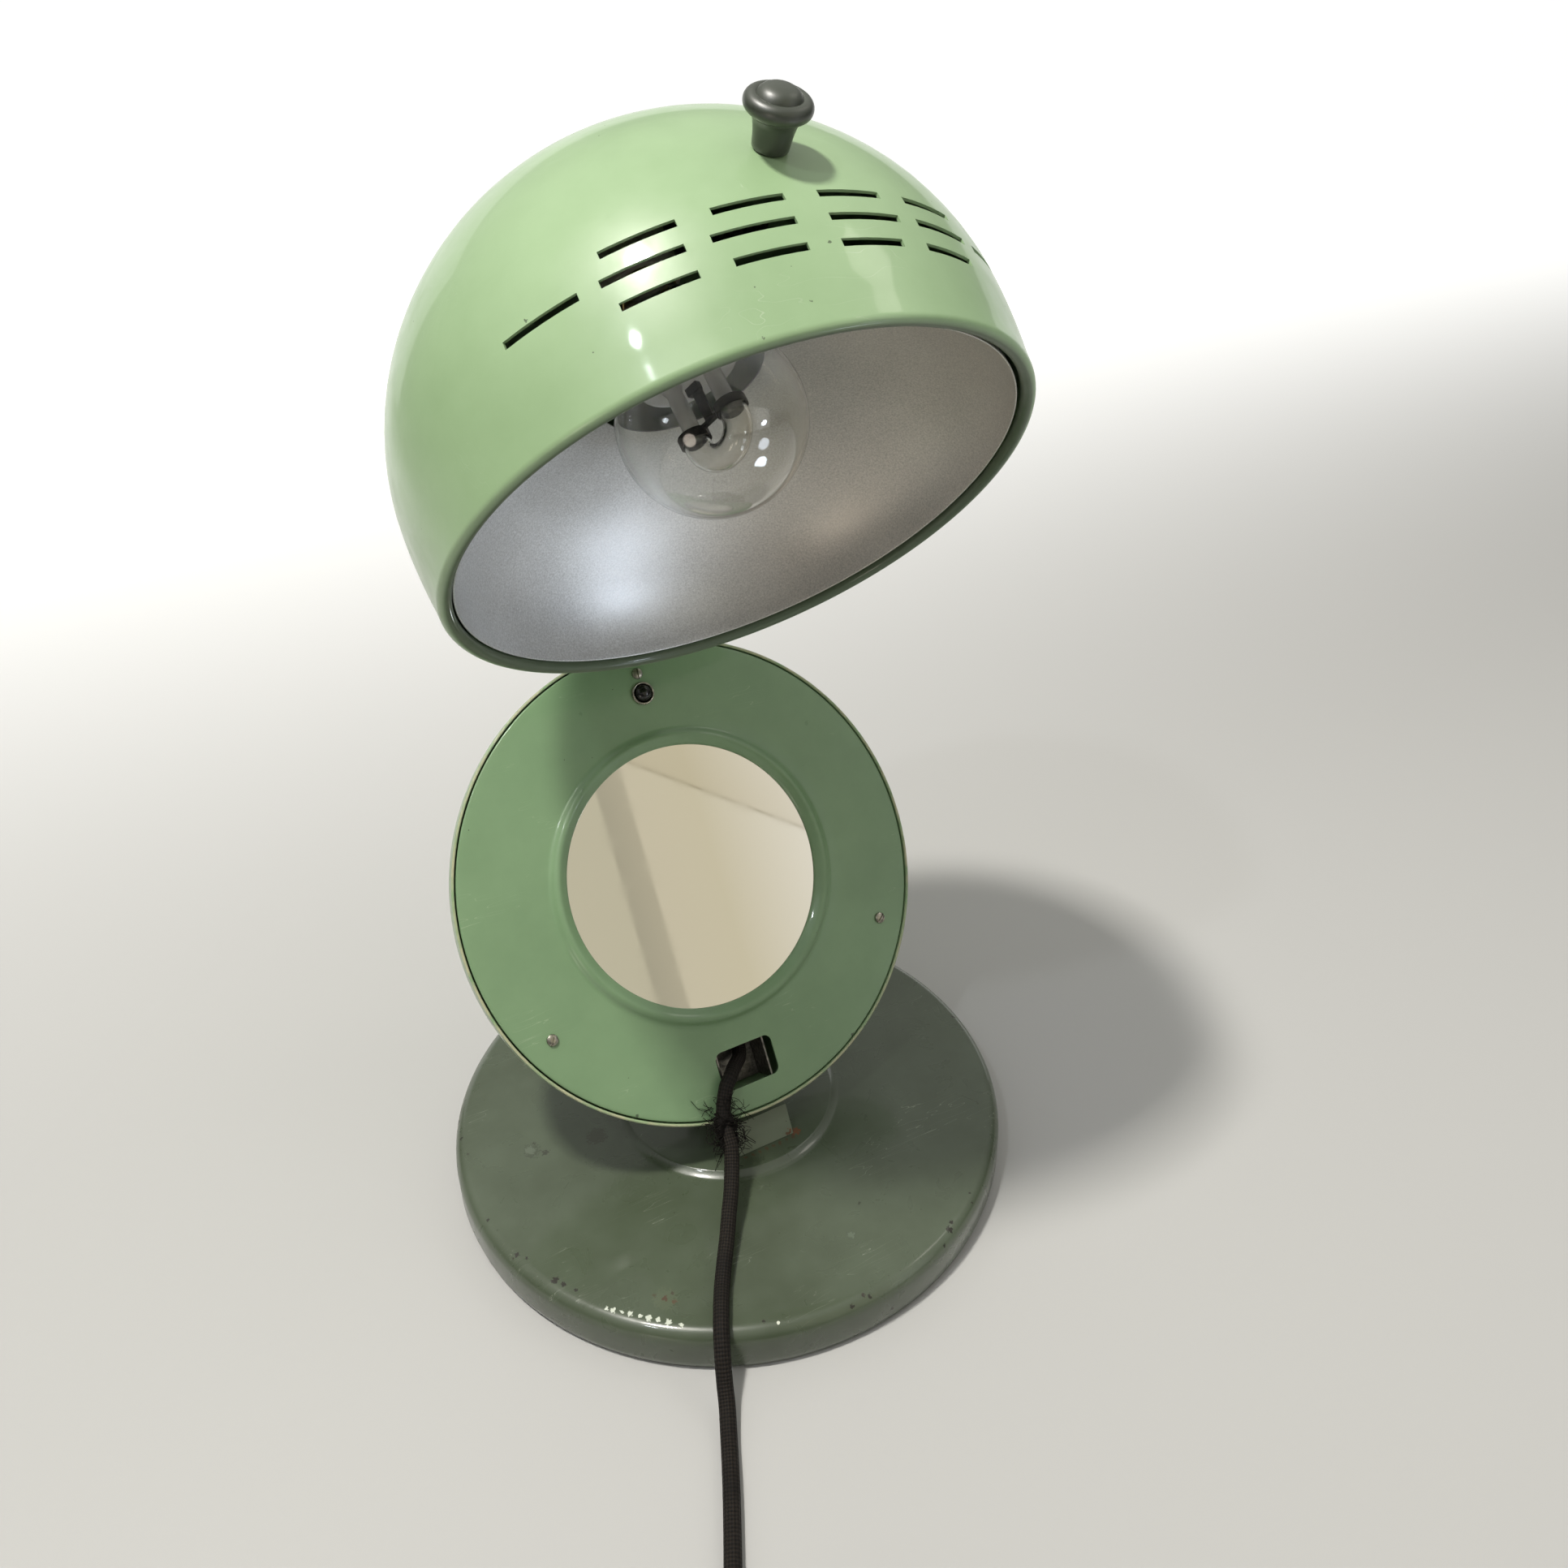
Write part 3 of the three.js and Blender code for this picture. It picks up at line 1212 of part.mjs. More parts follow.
function plugBody() {
  const outline = [
    [cordRadius + seat, 0], [6.5, 0], [7.2, 7], [13, 11], [plugRadius - 1, 17], [plugRadius, 20],
    [plugRadius, plugLength - 5], [plugRadius - 1.6, plugLength - 4], [plugRadius - 1.6, plugLength],
    [0, plugLength], [0, 9], [cordRadius + seat, 9],
  ];
  const holes = [-1, 1].map((side) => rod(plugPinRadius + holePlay, plugLength - 8, plugLength + 1)
    .translate(0, side * plugPinSpacing / 2, 0));
  return cut(revolve(outline, 20), ...holes);
}

add(plug, 'plug_body', plugBody(), blackPlastic);
[-1, 1].forEach((side, i) => {
  const pin = revolve([
    [0, plugLength - 8 + seat], [plugPinRadius, plugLength - 8 + seat], [plugPinRadius, plugLength + plugPinLength - 1.5],
    [plugPinRadius - 1, plugLength + plugPinLength], [0, plugLength + plugPinLength],
  ], small);
  add(plug, `plug_pin_${i + 1}`, pin.translate(0, side * plugPinSpacing / 2, 0), brass);
});

export default lamp;
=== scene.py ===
# %% [markdown]
# # A quartz sun lamp, dressed for its portrait
# The lamp is a table lamp for taking light baths: a heavy round base, a round housing that leans
# back on it with a mirror in its front, and a deep round hood, hinged to the housing's top edge,
# that holds the quartz burner. The solids come packed from CAD as the frame. This script gives each
# of them the skin, edges and finish that the real one has, and never moves the frame itself.

# %% Load the frame
import math

import bmesh
import bpy
from mathutils import Matrix, Vector, noise


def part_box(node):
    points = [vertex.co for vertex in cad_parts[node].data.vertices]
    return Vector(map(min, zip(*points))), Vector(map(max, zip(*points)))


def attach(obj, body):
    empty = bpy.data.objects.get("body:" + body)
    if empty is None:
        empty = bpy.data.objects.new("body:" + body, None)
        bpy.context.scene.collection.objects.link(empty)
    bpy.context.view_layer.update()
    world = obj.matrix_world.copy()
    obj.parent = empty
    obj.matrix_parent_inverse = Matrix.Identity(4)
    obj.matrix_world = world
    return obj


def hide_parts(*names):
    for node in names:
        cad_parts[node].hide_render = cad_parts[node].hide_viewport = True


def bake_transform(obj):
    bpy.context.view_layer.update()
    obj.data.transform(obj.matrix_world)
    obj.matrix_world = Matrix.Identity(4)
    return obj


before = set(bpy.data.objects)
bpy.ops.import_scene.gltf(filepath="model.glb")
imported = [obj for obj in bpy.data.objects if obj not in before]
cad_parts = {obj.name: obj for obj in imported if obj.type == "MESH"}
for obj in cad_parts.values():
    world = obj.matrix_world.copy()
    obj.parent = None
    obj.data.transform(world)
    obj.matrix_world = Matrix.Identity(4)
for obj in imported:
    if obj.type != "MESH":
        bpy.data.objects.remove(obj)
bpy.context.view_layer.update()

# %% [markdown]
# ## The camera
# A photograph is matched first by where its camera stood and how long its lens was. Both were
# worked out from the round edges of the lamp, which show as ellipses. The picture was cropped from
# a larger one, so the lens's centre isn't the picture's centre: the shift moves it there.

# %% Camera
picture = 1932
focal_length, lens_centre = 1572.606, (944.061, 802.696)
eye = Vector((-0.220731, -0.488468, 0.55812))
yaw, pitch, roll = (math.radians(angle) for angle in (-27.453, -26.021, -1.775))

forward = Vector((-math.sin(yaw) * math.cos(pitch), math.cos(yaw) * math.cos(pitch), math.sin(pitch)))
level = Vector((math.cos(yaw), math.sin(yaw), 0))
upright = level.cross(forward)
right = level * math.cos(roll) + upright * math.sin(roll)
up = upright * math.cos(roll) - level * math.sin(roll)

camera_data = bpy.data.cameras.new("portrait_camera")
camera_data.sensor_width = 36
camera_data.lens = 36 * focal_length / picture
camera_data.shift_x = (picture / 2 - lens_centre[0]) / picture
camera_data.shift_y = (lens_centre[1] - picture / 2) / picture
camera = bpy.data.objects.new("portrait_camera", camera_data)
bpy.context.scene.collection.objects.link(camera)
camera.matrix_world = Matrix.Translation(eye) @ Matrix((right, up, -forward)).transposed().to_4x4()
bpy.context.scene.camera = camera
print("lens", round(camera_data.lens, 2), "mm, shift", round(camera_data.shift_x, 4), round(camera_data.shift_y, 4))

# %% [markdown]
# ## Where things are
# The housing leans back by 34.28 degrees and hangs on the tilt pin, and the hood is turned open
# about its own hinge. Each has its own upright frame, in millimetres, in which its pieces are easy
# to describe. A piece is made there and then carried to its place in metres, in one step.

# %% Frames of the housing, the hood and the lamp
METRES = Matrix.Scale(0.001, 4)
WORLD = Matrix.Identity(4)
HOUSING_RADIUS, BACK_START, BACK_DEPTH, BACK_POWER = 127.4, -6, 42, 2.3


def back_skin(radius):
    """Depth of the housing's rounded back at a radius, in the housing's frame."""
    return BACK_START - BACK_DEPTH * (1 - (radius / HOUSING_RADIUS) ** BACK_POWER) ** (1 / BACK_POWER)


lean = math.radians(34.28)
tilt_pin = Vector((0, 10, 46))
LUG_RADIUS, LUG_HEIGHT = 99.6, 14.2  # where the lug sits on the back and how far its pin is from it
lug_pin = Vector((0, -LUG_RADIUS, back_skin(LUG_RADIUS) - LUG_HEIGHT))
HOUSING = (Matrix.Translation(tilt_pin) @ Matrix.Rotation(math.pi / 2 - lean, 4, "X")
           @ Matrix.Translation(-lug_pin))
hinge_pin, hinge_on_hood = Vector((0, 141.4, 40.6)), Vector((0, 141.4, 39.6))


def hood_frame(opening):
    """The hood's frame when it is open by an angle in degrees."""
    return (HOUSING @ Matrix.Translation(hinge_pin) @ Matrix.Rotation(math.radians(-opening), 4, "X")
            @ Matrix.Translation(-hinge_on_hood))


HOOD = hood_frame(104.47)
bulb_foot = Vector((0, 0, 131.7))  # the bulb hangs 2.9 degrees askew in its holder
BULB = (HOOD @ Matrix.Translation(bulb_foot) @ Matrix.Rotation(math.radians(-2.9), 4, "Y")
        @ Matrix.Translation(-bulb_foot))
BURNER = BULB @ Matrix.Rotation(math.radians(-61), 4, "Z")
print("housing's origin:", [round(c, 2) for c in HOUSING.translation], "mm")
print("hood's origin:", [round(c, 2) for c in HOOD.translation], "mm")

# %% [markdown]
# ## Colour and nodes
# Colours are written as the hex values that a paint card or a screen shows, which are sRGB, while
# Blender's shaders work in linear light, so one function turns the one into the other. Every
# material is a tree of nodes, and one function adds a node, sets it and feeds it.

# %% Colour and nodes


def paint(hex_value):
    """Linear RGBA for an sRGB hex value such as '8fa883'."""
    channels = [int(hex_value[i:i + 2], 16) / 255 for i in (0, 2, 4)]
    return [c / 12.92 if c < 0.04045 else ((c + 0.055) / 1.055) ** 2.4 for c in channels] + [1]


def wire(tree, node, feeds):
    """Feeds a node's sockets. A feed is an output, or a node whose first output is meant."""
    for name, feed in feeds.items():
        tree.links.new(feed.outputs[0] if isinstance(feed, bpy.types.Node) else feed, node.inputs[name])


def add_node(tree, kind, settings=None, links=None):
    """Adds a node. Settings are its properties, its sockets or a ramp's stops, links are what feeds it."""
    node = tree.nodes.new("ShaderNode" + kind)
    for name, value in (settings or {}).items():
        if name == "stops":
            stops = node.color_ramp.elements
            while len(stops) < len(value):
                stops.new(1)
            for stop, (position, tone) in zip(stops, value):
                stop.position, stop.color = position, paint(tone)
        elif isinstance(name, str) and name in node.bl_rna.properties:
            setattr(node, name, value)
        else:
            node.inputs[name].default_value = value
    wire(tree, node, links or {})
    return node


print("a pale green on the paint card:", "9db88b", "is", [round(c, 3) for c in paint("9db88b")], "in linear light")

# %% [markdown]
# ## Finishes
# A finish is a material with one Principled shader. Its patterns use object coordinates, which are
# turned into the frame of the body where a pattern has to lie along it. Many finishes are one tone
# that wanders to another over a noise, and one function makes all of those.

# %% Finishes


def new_finish(name, **sockets):
    """A material with one Principled shader, returned with its tree and its shader."""
    material = bpy.data.materials.new(name)
    material.use_nodes = True
    tree = material.node_tree
    tree.nodes.clear()
    shader = add_node(tree, "BsdfPrincipled", {key.replace("_", " "): value for key, value in sockets.items()})
    add_node(tree, "OutputMaterial", links={"Surface": shader.outputs["BSDF"]})
    return material, tree, shader


def place_on(tree, place):
    """Coordinates in millimetres in a frame such as the housing's: the pattern stays on its piece."""
    where, turn, _ = place.decompose()
    return add_node(tree, "Mapping", {
        "vector_type": "TEXTURE", "Location": where * 0.001, "Rotation": turn.to_euler(), "Scale": (0.001,) * 3,
    }, {"Vector": add_node(tree, "TexCoord").outputs["Object"]})


def mottled(name, grain, dark, light, place=None, ends=(0, 1), rough=None, relief=None, **sockets):
    """A finish whose colour wanders between two tones. grain is its noise's scale and detail, ends say
    where on the noise the tones lie, rough is a range of the noise and the roughness at both its ends,
    and relief is the strength and the depth of a bump."""
    material, tree, shader = new_finish(name, **sockets)
    spot = add_node(tree, "TexCoord").outputs["Object"] if place is None else place_on(tree, place)
    pattern = add_node(tree, "TexNoise", {"Scale": grain[0], "Detail": grain[1]}, {0: spot})
    colour = add_node(tree, "ValToRGB", {"stops": tuple(zip(ends, (dark, light)))}, {0: pattern})
    wire(tree, shader, {"Base Color": colour})
    if rough:
        ranges = dict(zip(("From Min", "From Max", "To Min", "To Max"), rough))
        wire(tree, shader, {"Roughness": add_node(tree, "MapRange", ranges, {0: pattern})})
    if relief:
        bump = add_node(tree, "Bump", {"Strength": relief[0], "Distance": relief[1]}, {"Height": pattern})
        wire(tree, shader, {"Normal": bump})
    return material


print("the housing's frame is turned by", [round(math.degrees(a), 2) for a in HOUSING.to_euler()], "degrees")

# %% [markdown]
# ## Making round and pressed pieces
# Nearly all of the lamp is turned or spun metal, so most pieces start as an outline of a few
# points that is spun about an axis. A bent piece of rod or cord is a ring that is extruded step by
# step along its line. A folded piece has its right shape in CAD already: a copy of it has its
# loose triangles merged into whole faces and its edges rounded.

# %% Outlines and spinning


def arc(centre, radius, start, end, steps):
    """Points on part of a circle, angles in degrees."""
    angles = [math.radians(start + (end - start) * i / steps) for i in range(steps + 1)]
    return [(centre[0] + radius * math.cos(a), centre[1] + radius * math.sin(a)) for a in angles]


def mesh_from(shape, name, *finishes):
    """Turns a bmesh into a mesh and lets the bmesh go."""
    mesh = bpy.data.meshes.new(name)
    shape.to_mesh(mesh)
    shape.free()
    for finish in finishes:
        mesh.materials.append(finish)
    return mesh


def add_object(name, data):
    """Puts a mesh or a lamp into the scene."""
    thing = bpy.data.objects.new(name, data)
    bpy.context.scene.collection.objects.link(thing)
    return thing


def join_onto(shape, other):
    """Adds the faces of another shape to a shape."""
    spare = mesh_from(other, "spare")
    shape.from_mesh(spare)
    bpy.data.meshes.remove(spare)


def spin_outline(outline, steps, closed=False):
    """Spins an outline of (radius, height) points about the Z axis."""
    shape = bmesh.new()
    dots = [shape.verts.new((r, 0, z)) for r, z in outline]
    ends = dots[1:] + dots[:1] if closed else dots[1:]
    edges = [shape.edges.new(pair) for pair in zip(dots, ends)]
    bmesh.ops.spin(shape, geom=dots + edges, cent=(0, 0, 0), axis=(0, 0, 1), dvec=(0, 0, 0),
                   angle=math.tau, steps=steps, use_merge=True, use_normal_flip=False, use_duplicate=False)
    bmesh.ops.remove_doubles(shape, verts=shape.verts, dist=1e-4)
    bmesh.ops.dissolve_degenerate(shape, dist=1e-5, edges=shape.edges)
    bmesh.ops.recalc_face_normals(shape, faces=shape.faces)
    return shape


print("an arc of 90 degrees in three steps:", [(round(x, 2), round(y, 2)) for x, y in arc((0, 0), 1, 0, 90, 3)])

# %% [markdown]
# ## Finishing a piece
# A piece is carried from its upright frame to its place in the world, smoothed but for its sharp
# edges and tied to the body that it moves with, and the CAD node that it stands for is hidden.

# %% Finishing a piece


def finish_piece(shape, name, place, finish, body, stands_for=(), wall=0, bevel=0, sharp=35):
    """Carries a shape to its place, rounds it and makes it a piece of the lamp."""
    bmesh.ops.transform(shape, matrix=METRES @ place, verts=shape.verts)
    mesh = mesh_from(shape, name, finish)
    mesh.shade_smooth()
    mesh.set_sharp_from_angle(angle=math.radians(sharp))
    piece = add_object(name, mesh)
    if wall:
        solid = piece.modifiers.new("wall", "SOLIDIFY")
        solid.thickness, solid.offset, solid.use_even_offset = wall * 0.001, -1, True
    if bevel:
        soft = piece.modifiers.new("edges", "BEVEL")
        soft.width, soft.segments, soft.angle_limit = bevel * 0.001, 2, math.radians(sharp)
        soft.limit_method, soft.harden_normals, soft.use_clamp_overlap = "ANGLE", True, True
    if body:
        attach(piece, body)
    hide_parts(*([stands_for] if isinstance(stands_for, str) else stands_for))
    print(f"{name}: {len(mesh.polygons)} faces")
    return piece


def copy_node(node):
    """A copy of a CAD node in millimetres, its loose triangles merged into whole faces."""
    shape = bmesh.new()
    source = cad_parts[node]
    shape.from_mesh(source.data)
    bmesh.ops.transform(shape, matrix=METRES.inverted() @ source.matrix_world, verts=shape.verts)
    bmesh.ops.remove_doubles(shape, verts=shape.verts, dist=1e-3)
    bmesh.ops.dissolve_limit(shape, angle_limit=math.radians(2), verts=shape.verts, edges=shape.edges)
    return shape


def middle_of(node):
    """The middle of a CAD node's box, in millimetres."""
    low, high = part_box(node)
    return (Vector(low) + Vector(high)) * 500


print("the middle of the knob is at", [round(c) for c in middle_of("knob")], "mm")

# %% [markdown]
# ## Fittings
# Slotted screws, washers and hexagon nuts hold the lamp together. A real hexagon nut is a turned
# blank with six flats milled on it, and so is this one, which gives the chamfer its scalloped edge.
# A screw's slot is sawn into a domed head: the head is cut along both sides of the slot, and the
# strip between the cuts goes down.

# %% Screws, washers and nuts
ACROSS = Matrix.Rotation(math.pi / 2, 4, "Y")


def slotted_head(radius, height, slot_angle, dome=0.35, slot=1.0, depth=0.9):
    """A domed round screw head with its underside on Z 0."""
    shape = spin_outline([(0, 0), (radius, 0), (radius, height * 0.45), (radius * 0.94, height * 0.68),
                          (radius * 0.72, height * 0.9), (radius * dome, height), (0, height)], 32)
    for side in (-1, 1):
        bmesh.ops.bisect_plane(shape, geom=shape.verts[:] + shape.edges[:] + shape.faces[:],
                               plane_co=(0, side * slot / 2, 0), plane_no=(0, 1, 0), dist=1e-5)
    strip = [f for f in shape.faces if abs(f.calc_center_median().y) < slot / 2 and f.normal.z > 0.3]
    sunk = bmesh.ops.extrude_face_region(shape, geom=strip)
    floor = [item for item in sunk["geom"] if isinstance(item, bmesh.types.BMVert)]
    bmesh.ops.translate(shape, vec=(0, 0, -depth), verts=floor)
    bmesh.ops.delete(shape, geom=strip, context="FACES_ONLY")
    bmesh.ops.recalc_face_normals(shape, faces=shape.faces)
    bmesh.ops.rotate(shape, matrix=Matrix.Rotation(math.radians(slot_angle), 3, "Z"), verts=shape.verts)
    return shape


def ring(inner, outer, height, chamfer=0.3):
    """A washer with eased edges, lying on Z 0."""
    c = chamfer
    return spin_outline([(inner, c), (inner + c, 0), (outer - c, 0), (outer, c), (outer, height - c),
                         (outer - c, height), (inner + c, height), (inner, height - c)], 48, closed=True)


def hexagon_nut(corner, bore, height):
    """A turned blank with six flats, lying on Z 0."""
    flat = corner * math.cos(math.pi / 6)
    shape = spin_outline([(bore, 0.4), (bore + 0.4, 0), (flat * 0.97, 0), (corner, 1.1), (corner, height - 1.1),
                          (flat * 0.97, height), (bore + 0.4, height), (bore, height - 0.4)], 48, closed=True)
    for side in range(6):
        out = Matrix.Rotation(side * math.pi / 3, 3, "Z") @ Vector((1, 0, 0))
        cut = bmesh.ops.bisect_plane(shape, geom=shape.verts[:] + shape.edges[:] + shape.faces[:],
                                     plane_co=out * flat, plane_no=out, clear_outer=True, dist=1e-5)
        rim = [item for item in cut["geom_cut"] if isinstance(item, bmesh.types.BMEdge)]
        bmesh.ops.edgeloop_fill(shape, edges=rim)
    bmesh.ops.recalc_face_normals(shape, faces=shape.faces)
    return shape


nut = hexagon_nut(7.2, 4, 4)
print("a hexagon nut has", len(nut.faces), "faces")
nut.free()

# %% [markdown]
# ## Rods and cords
# A bent rod is a ring of vertices that is extruded from point to point of its line and turned with
# it. The ring turns by the smallest angle at each step, so a woven pattern doesn't twist.

# %% A tube along a line


def smooth_line(points, steps):
    """An even curve through points, spaced so that it doesn't overshoot at tight places."""
    knots = [Vector(p) for p in points]
    knots = [knots[0] * 2 - knots[1]] + knots + [knots[-1] * 2 - knots[-2]]
    line = []
    for a, b, c, d in zip(knots, knots[1:], knots[2:], knots[3:]):
        t1 = (b - a).length ** 0.5
        t2 = t1 + (c - b).length ** 0.5
        t3 = t2 + (d - c).length ** 0.5
        for i in range(steps):
            t = t1 + (t2 - t1) * i / steps
            ab = a * ((t1 - t) / t1) + b * (t / t1)
            bc = b * ((t2 - t) / (t2 - t1)) + c * ((t - t1) / (t2 - t1))
            cd = c * ((t3 - t) / (t3 - t2)) + d * ((t - t2) / (t3 - t2))
            abc = ab * ((t2 - t) / t2) + bc * (t / t2)
            bcd = bc * ((t3 - t) / (t3 - t1)) + cd * ((t - t1) / (t3 - t1))
            line.append(abc * ((t2 - t) / (t2 - t1)) + bcd * ((t - t1) / (t2 - t1)))
    return line + [knots[-2]]


def tube_along(line, radius, sides):
    """A closed tube whose UV map runs 0 to 1 round it and in millimetres along it."""
    shape = bmesh.new()
    wrap = shape.loops.layers.uv.new("wrap")
    heading = (line[1] - line[0]).normalized()
    start = Matrix.Translation(line[0]) @ heading.to_track_quat("Z", "Y").to_matrix().to_4x4()
    made = bmesh.ops.create_circle(shape, cap_ends=False, radius=radius, segments=sides, matrix=start)
    loop = made["verts"]
    edges = shape.edges[:]
    order = {v: i for i, v in enumerate(loop)}
    bmesh.ops.contextual_create(shape, geom=edges)
    along = 0
    for i in range(1, len(line)):
        new = bmesh.ops.extrude_edge_only(shape, edges=edges)["geom"]
        loop = [item for item in new if isinstance(item, bmesh.types.BMVert)]
        faces = [item for item in new if isinstance(item, bmesh.types.BMFace)]
        edges = [item for item in new if isinstance(item, bmesh.types.BMEdge) and all(v in loop for v in item.verts)]
        fresh = {v: next(order[e.other_vert(v)] for e in v.link_edges if e.other_vert(v) in order) for v in loop}
        after = line[min(i + 1, len(line) - 1)]
        bend = (line[i] - line[i - 1]).normalized() + (after - line[i]).normalized()
        turn = heading.rotation_difference(bend.normalized())
        heading = bend.normalized()
        step = (line[i] - line[i - 1]).length
        bmesh.ops.translate(shape, vec=line[i] - line[i - 1], verts=loop)
        bmesh.ops.rotate(shape, cent=line[i], matrix=turn.to_matrix(), verts=loop)
        for face in faces:
            spots = [(c, order.get(c.vert, fresh.get(c.vert)), along + step * (c.vert in fresh)) for c in face.loops]
            last = max(spot[1] for spot in spots) == sides - 1 and min(spot[1] for spot in spots) == 0
            for corner, place, height in spots:
                corner[wrap].uv = ((sides if last and place == 0 else place) / sides, height)
        along += step
        order = fresh
    bmesh.ops.contextual_create(shape, geom=edges)
    bmesh.ops.recalc_face_normals(shape, faces=shape.faces)
    return shape


def length_of(line):
    """The length of a line of points."""
    return sum((b - a).length for a, b in zip(line, line[1:]))


print("a quarter turn of rod, in mm:", round(length_of(smooth_line([(10, 0, 0), (7.07, 7.07, 0), (0, 10, 0)], 8)), 2))

# %% [markdown]
# ## The cord: its route
# The cord is 1.8 m of limp cotton-braided flex. It comes out of the hole in the front panel, goes
# over the housing's rim, down across the base and over its edge to the table. The photograph
# doesn't show the rest, which is put away as a flat coil just in front of the lamp, tied once, with
# the plug on its end. The points are those that the CAD model's cord follows. That cord is 9 mm
# thick; the visible one is 7.6 mm, because it looks that thin beside the housing.

# %% The cord's route
CORD, VISIBLE = 4.5, 3.8  # radius of the CAD cord and of the visible one
rim_crossing, binding_end = Vector((-24.9, -125.5, 5.6)), Vector((-25.9, -134, 8.6))
lead_points = [
    (1, -75.4, -15), (1, -85.4, -15), (0.6, -93, -14.3), (-1.6, -99, -11.3), (-7, -101.6, -6),
    (-10, -102.6, -2.3), (-12.4, -103.5, 1), (-15.1, -105, 3.6), (-18, -107.6, 4.5), (-20.6, -112, 4.6),
    (-23.1, -117.2, 4.9), (-24.6, -121.6, 5.1), rim_crossing, (-25.13, -127.5, 6.3),
]
coil_middle, coil_radius, coil_pitch, coil_turns = (-87, -314), 61.7, 9.6, 13 / 3
coil_low, coil_start = CORD + 1.2, math.radians(153.5)
PLUG_HEIGHT = 19.1  # the plug's middle lies this high above the table
heading_in = Vector((-math.sin(coil_start), math.cos(coil_start), 0))


def eased(value, low, high):
    """0 below low, 1 above high, and smooth between."""
    share = min(max((value - low) / (high - low), 0), 1)
    return share * share * (3 - 2 * share)


def coil_point(turn):
    """The coil winds inwards on the table and outwards again on top of itself."""
    half = coil_turns / 2
    radius = coil_radius - coil_pitch * (half - abs(turn - half))
    angle = coil_start + math.tau * turn
    return Vector((coil_middle[0] + radius * math.cos(angle), coil_middle[1] + radius * math.sin(angle),
                   coil_low + coil_pitch * eased(turn, half - 0.25, half + 0.25)))


coil_entry = coil_point(0) - heading_in * 25
tail_angle = coil_start + math.tau * coil_turns + math.pi / 2
tail_heading = Vector((math.cos(tail_angle), math.sin(tail_angle), 0))


def tail_point(distance):
    """The cord's last stretch, which comes up to the height of the plug's middle."""
    point = coil_point(coil_turns) + tail_heading * distance
    point.z += (PLUG_HEIGHT - coil_low - coil_pitch) * eased(distance, 4, 44)
    return point


free_points = [
    *(HOUSING @ rim_crossing.lerp(binding_end, share) for share in (0.52, 0.85, 1.15)),
    (-29.4, -65.2, 43.6), (-35.2, -75.3, 38.5), (-40.8, -83.7, 34.8), (-46.4, -92.7, 32), (-52.9, -102.6, 29.8),
    (-59.1, -112.5, 28.5), (-64.4, -122.3, 28.6), (-69.5, -132.5, 27), (-72.8, -139.9, 21.3), (-75.6, -146.9, 13),
    (-77.6, -152.6, 8.6), (-82.4, -163.7, 5), (-91.3, -183.7, 4.7), (-105, -212.2, 4.7),
    coil_entry - heading_in * 22 - Vector((0, 0, 0.3)),
]
loose_line = smooth_line([HOUSING @ Vector(p) for p in lead_points] + free_points + [coil_entry], 6)
coil_line = [coil_point(coil_turns * i / 208) for i in range(209)]
cord_line = loose_line + [coil_entry.lerp(coil_line[0], 0.5)] + coil_line + [tail_point(d) for d in range(4, 50, 4)]
print("cord from the clamp to the plug:", round(length_of(cord_line) / 1000, 3), "m in", len(cord_line), "points")
print("of which loose:", round(length_of(loose_line) / 1000, 3), "m")

# %% [markdown]
# ## The cord: its braid
# Old flex has a braid of glazed cotton, here so dark a brown that it looks black, dulled and a
# little dusty on top of the threads. A braid is two sets of threads that cross on a slant, so two
# waves that run round the cord in opposite ways, each in turn on top, give its colour and its
# relief. They use the tube's UV map, because the pattern has to follow the cord. Real picks are
# about 1 mm; they are drawn at 1.6 mm so that they still show.

# %% Braid material
braid, tree, shader = new_finish("glazed_cotton_braid", Roughness=0.72, Specular_IOR_Level=0.2, Sheen_Weight=0.05,
                                 Sheen_Roughness=0.4, Sheen_Tint=paint("6b6154"))
threads = add_node(tree, "SeparateXYZ", links={0: add_node(tree, "UVMap", {"uv_map": "wrap"})})
around = add_node(tree, "Math", {"operation": "MULTIPLY", 1: 8 * math.tau}, {0: threads.outputs["X"]})
along = add_node(tree, "Math", {"operation": "MULTIPLY", 1: math.tau / 3.2}, {0: threads.outputs["Y"]})
strands = []
for way in ("ADD", "SUBTRACT"):
    phase = add_node(tree, "Math", {"operation": way}, {0: around, 1: along})
    strands.append(add_node(tree, "Math", {"operation": "SINE"}, {0: phase}))
crossing = add_node(tree, "Math", {"operation": "MULTIPLY"}, {0: strands[0], 1: strands[1]})
fuzz = add_node(tree, "TexNoise", {"Scale": 900, "Detail": 3}, {0: add_node(tree, "TexCoord").outputs["Object"]})
worn = add_node(tree, "TexNoise", {"Scale": 60, "Detail": 4}, {0: add_node(tree, "TexCoord").outputs["Object"]})
tone = add_node(tree, "MapRange", {"From Min": -1, "From Max": 1, "To Min": -0.25, "To Max": 0.8},
                {0: crossing})
tone = add_node(tree, "Math", {"operation": "MULTIPLY_ADD", 1: 0.5}, {0: fuzz, 2: tone})
tone = add_node(tree, "Math", {"operation": "MULTIPLY"}, {0: tone, 1: worn})
colour = add_node(tree, "ValToRGB", {"stops": ((0, "030303"), (0.75, "2d2721"))}, {0: tone})
relief = add_node(tree, "Bump", {"Strength": 0.9, "Distance": 0.0007}, {"Height": tone})
wire(tree, shader, {"Base Color": colour, "Normal": relief})
print("16 threads round the cord, picks along it every 1.6 mm")
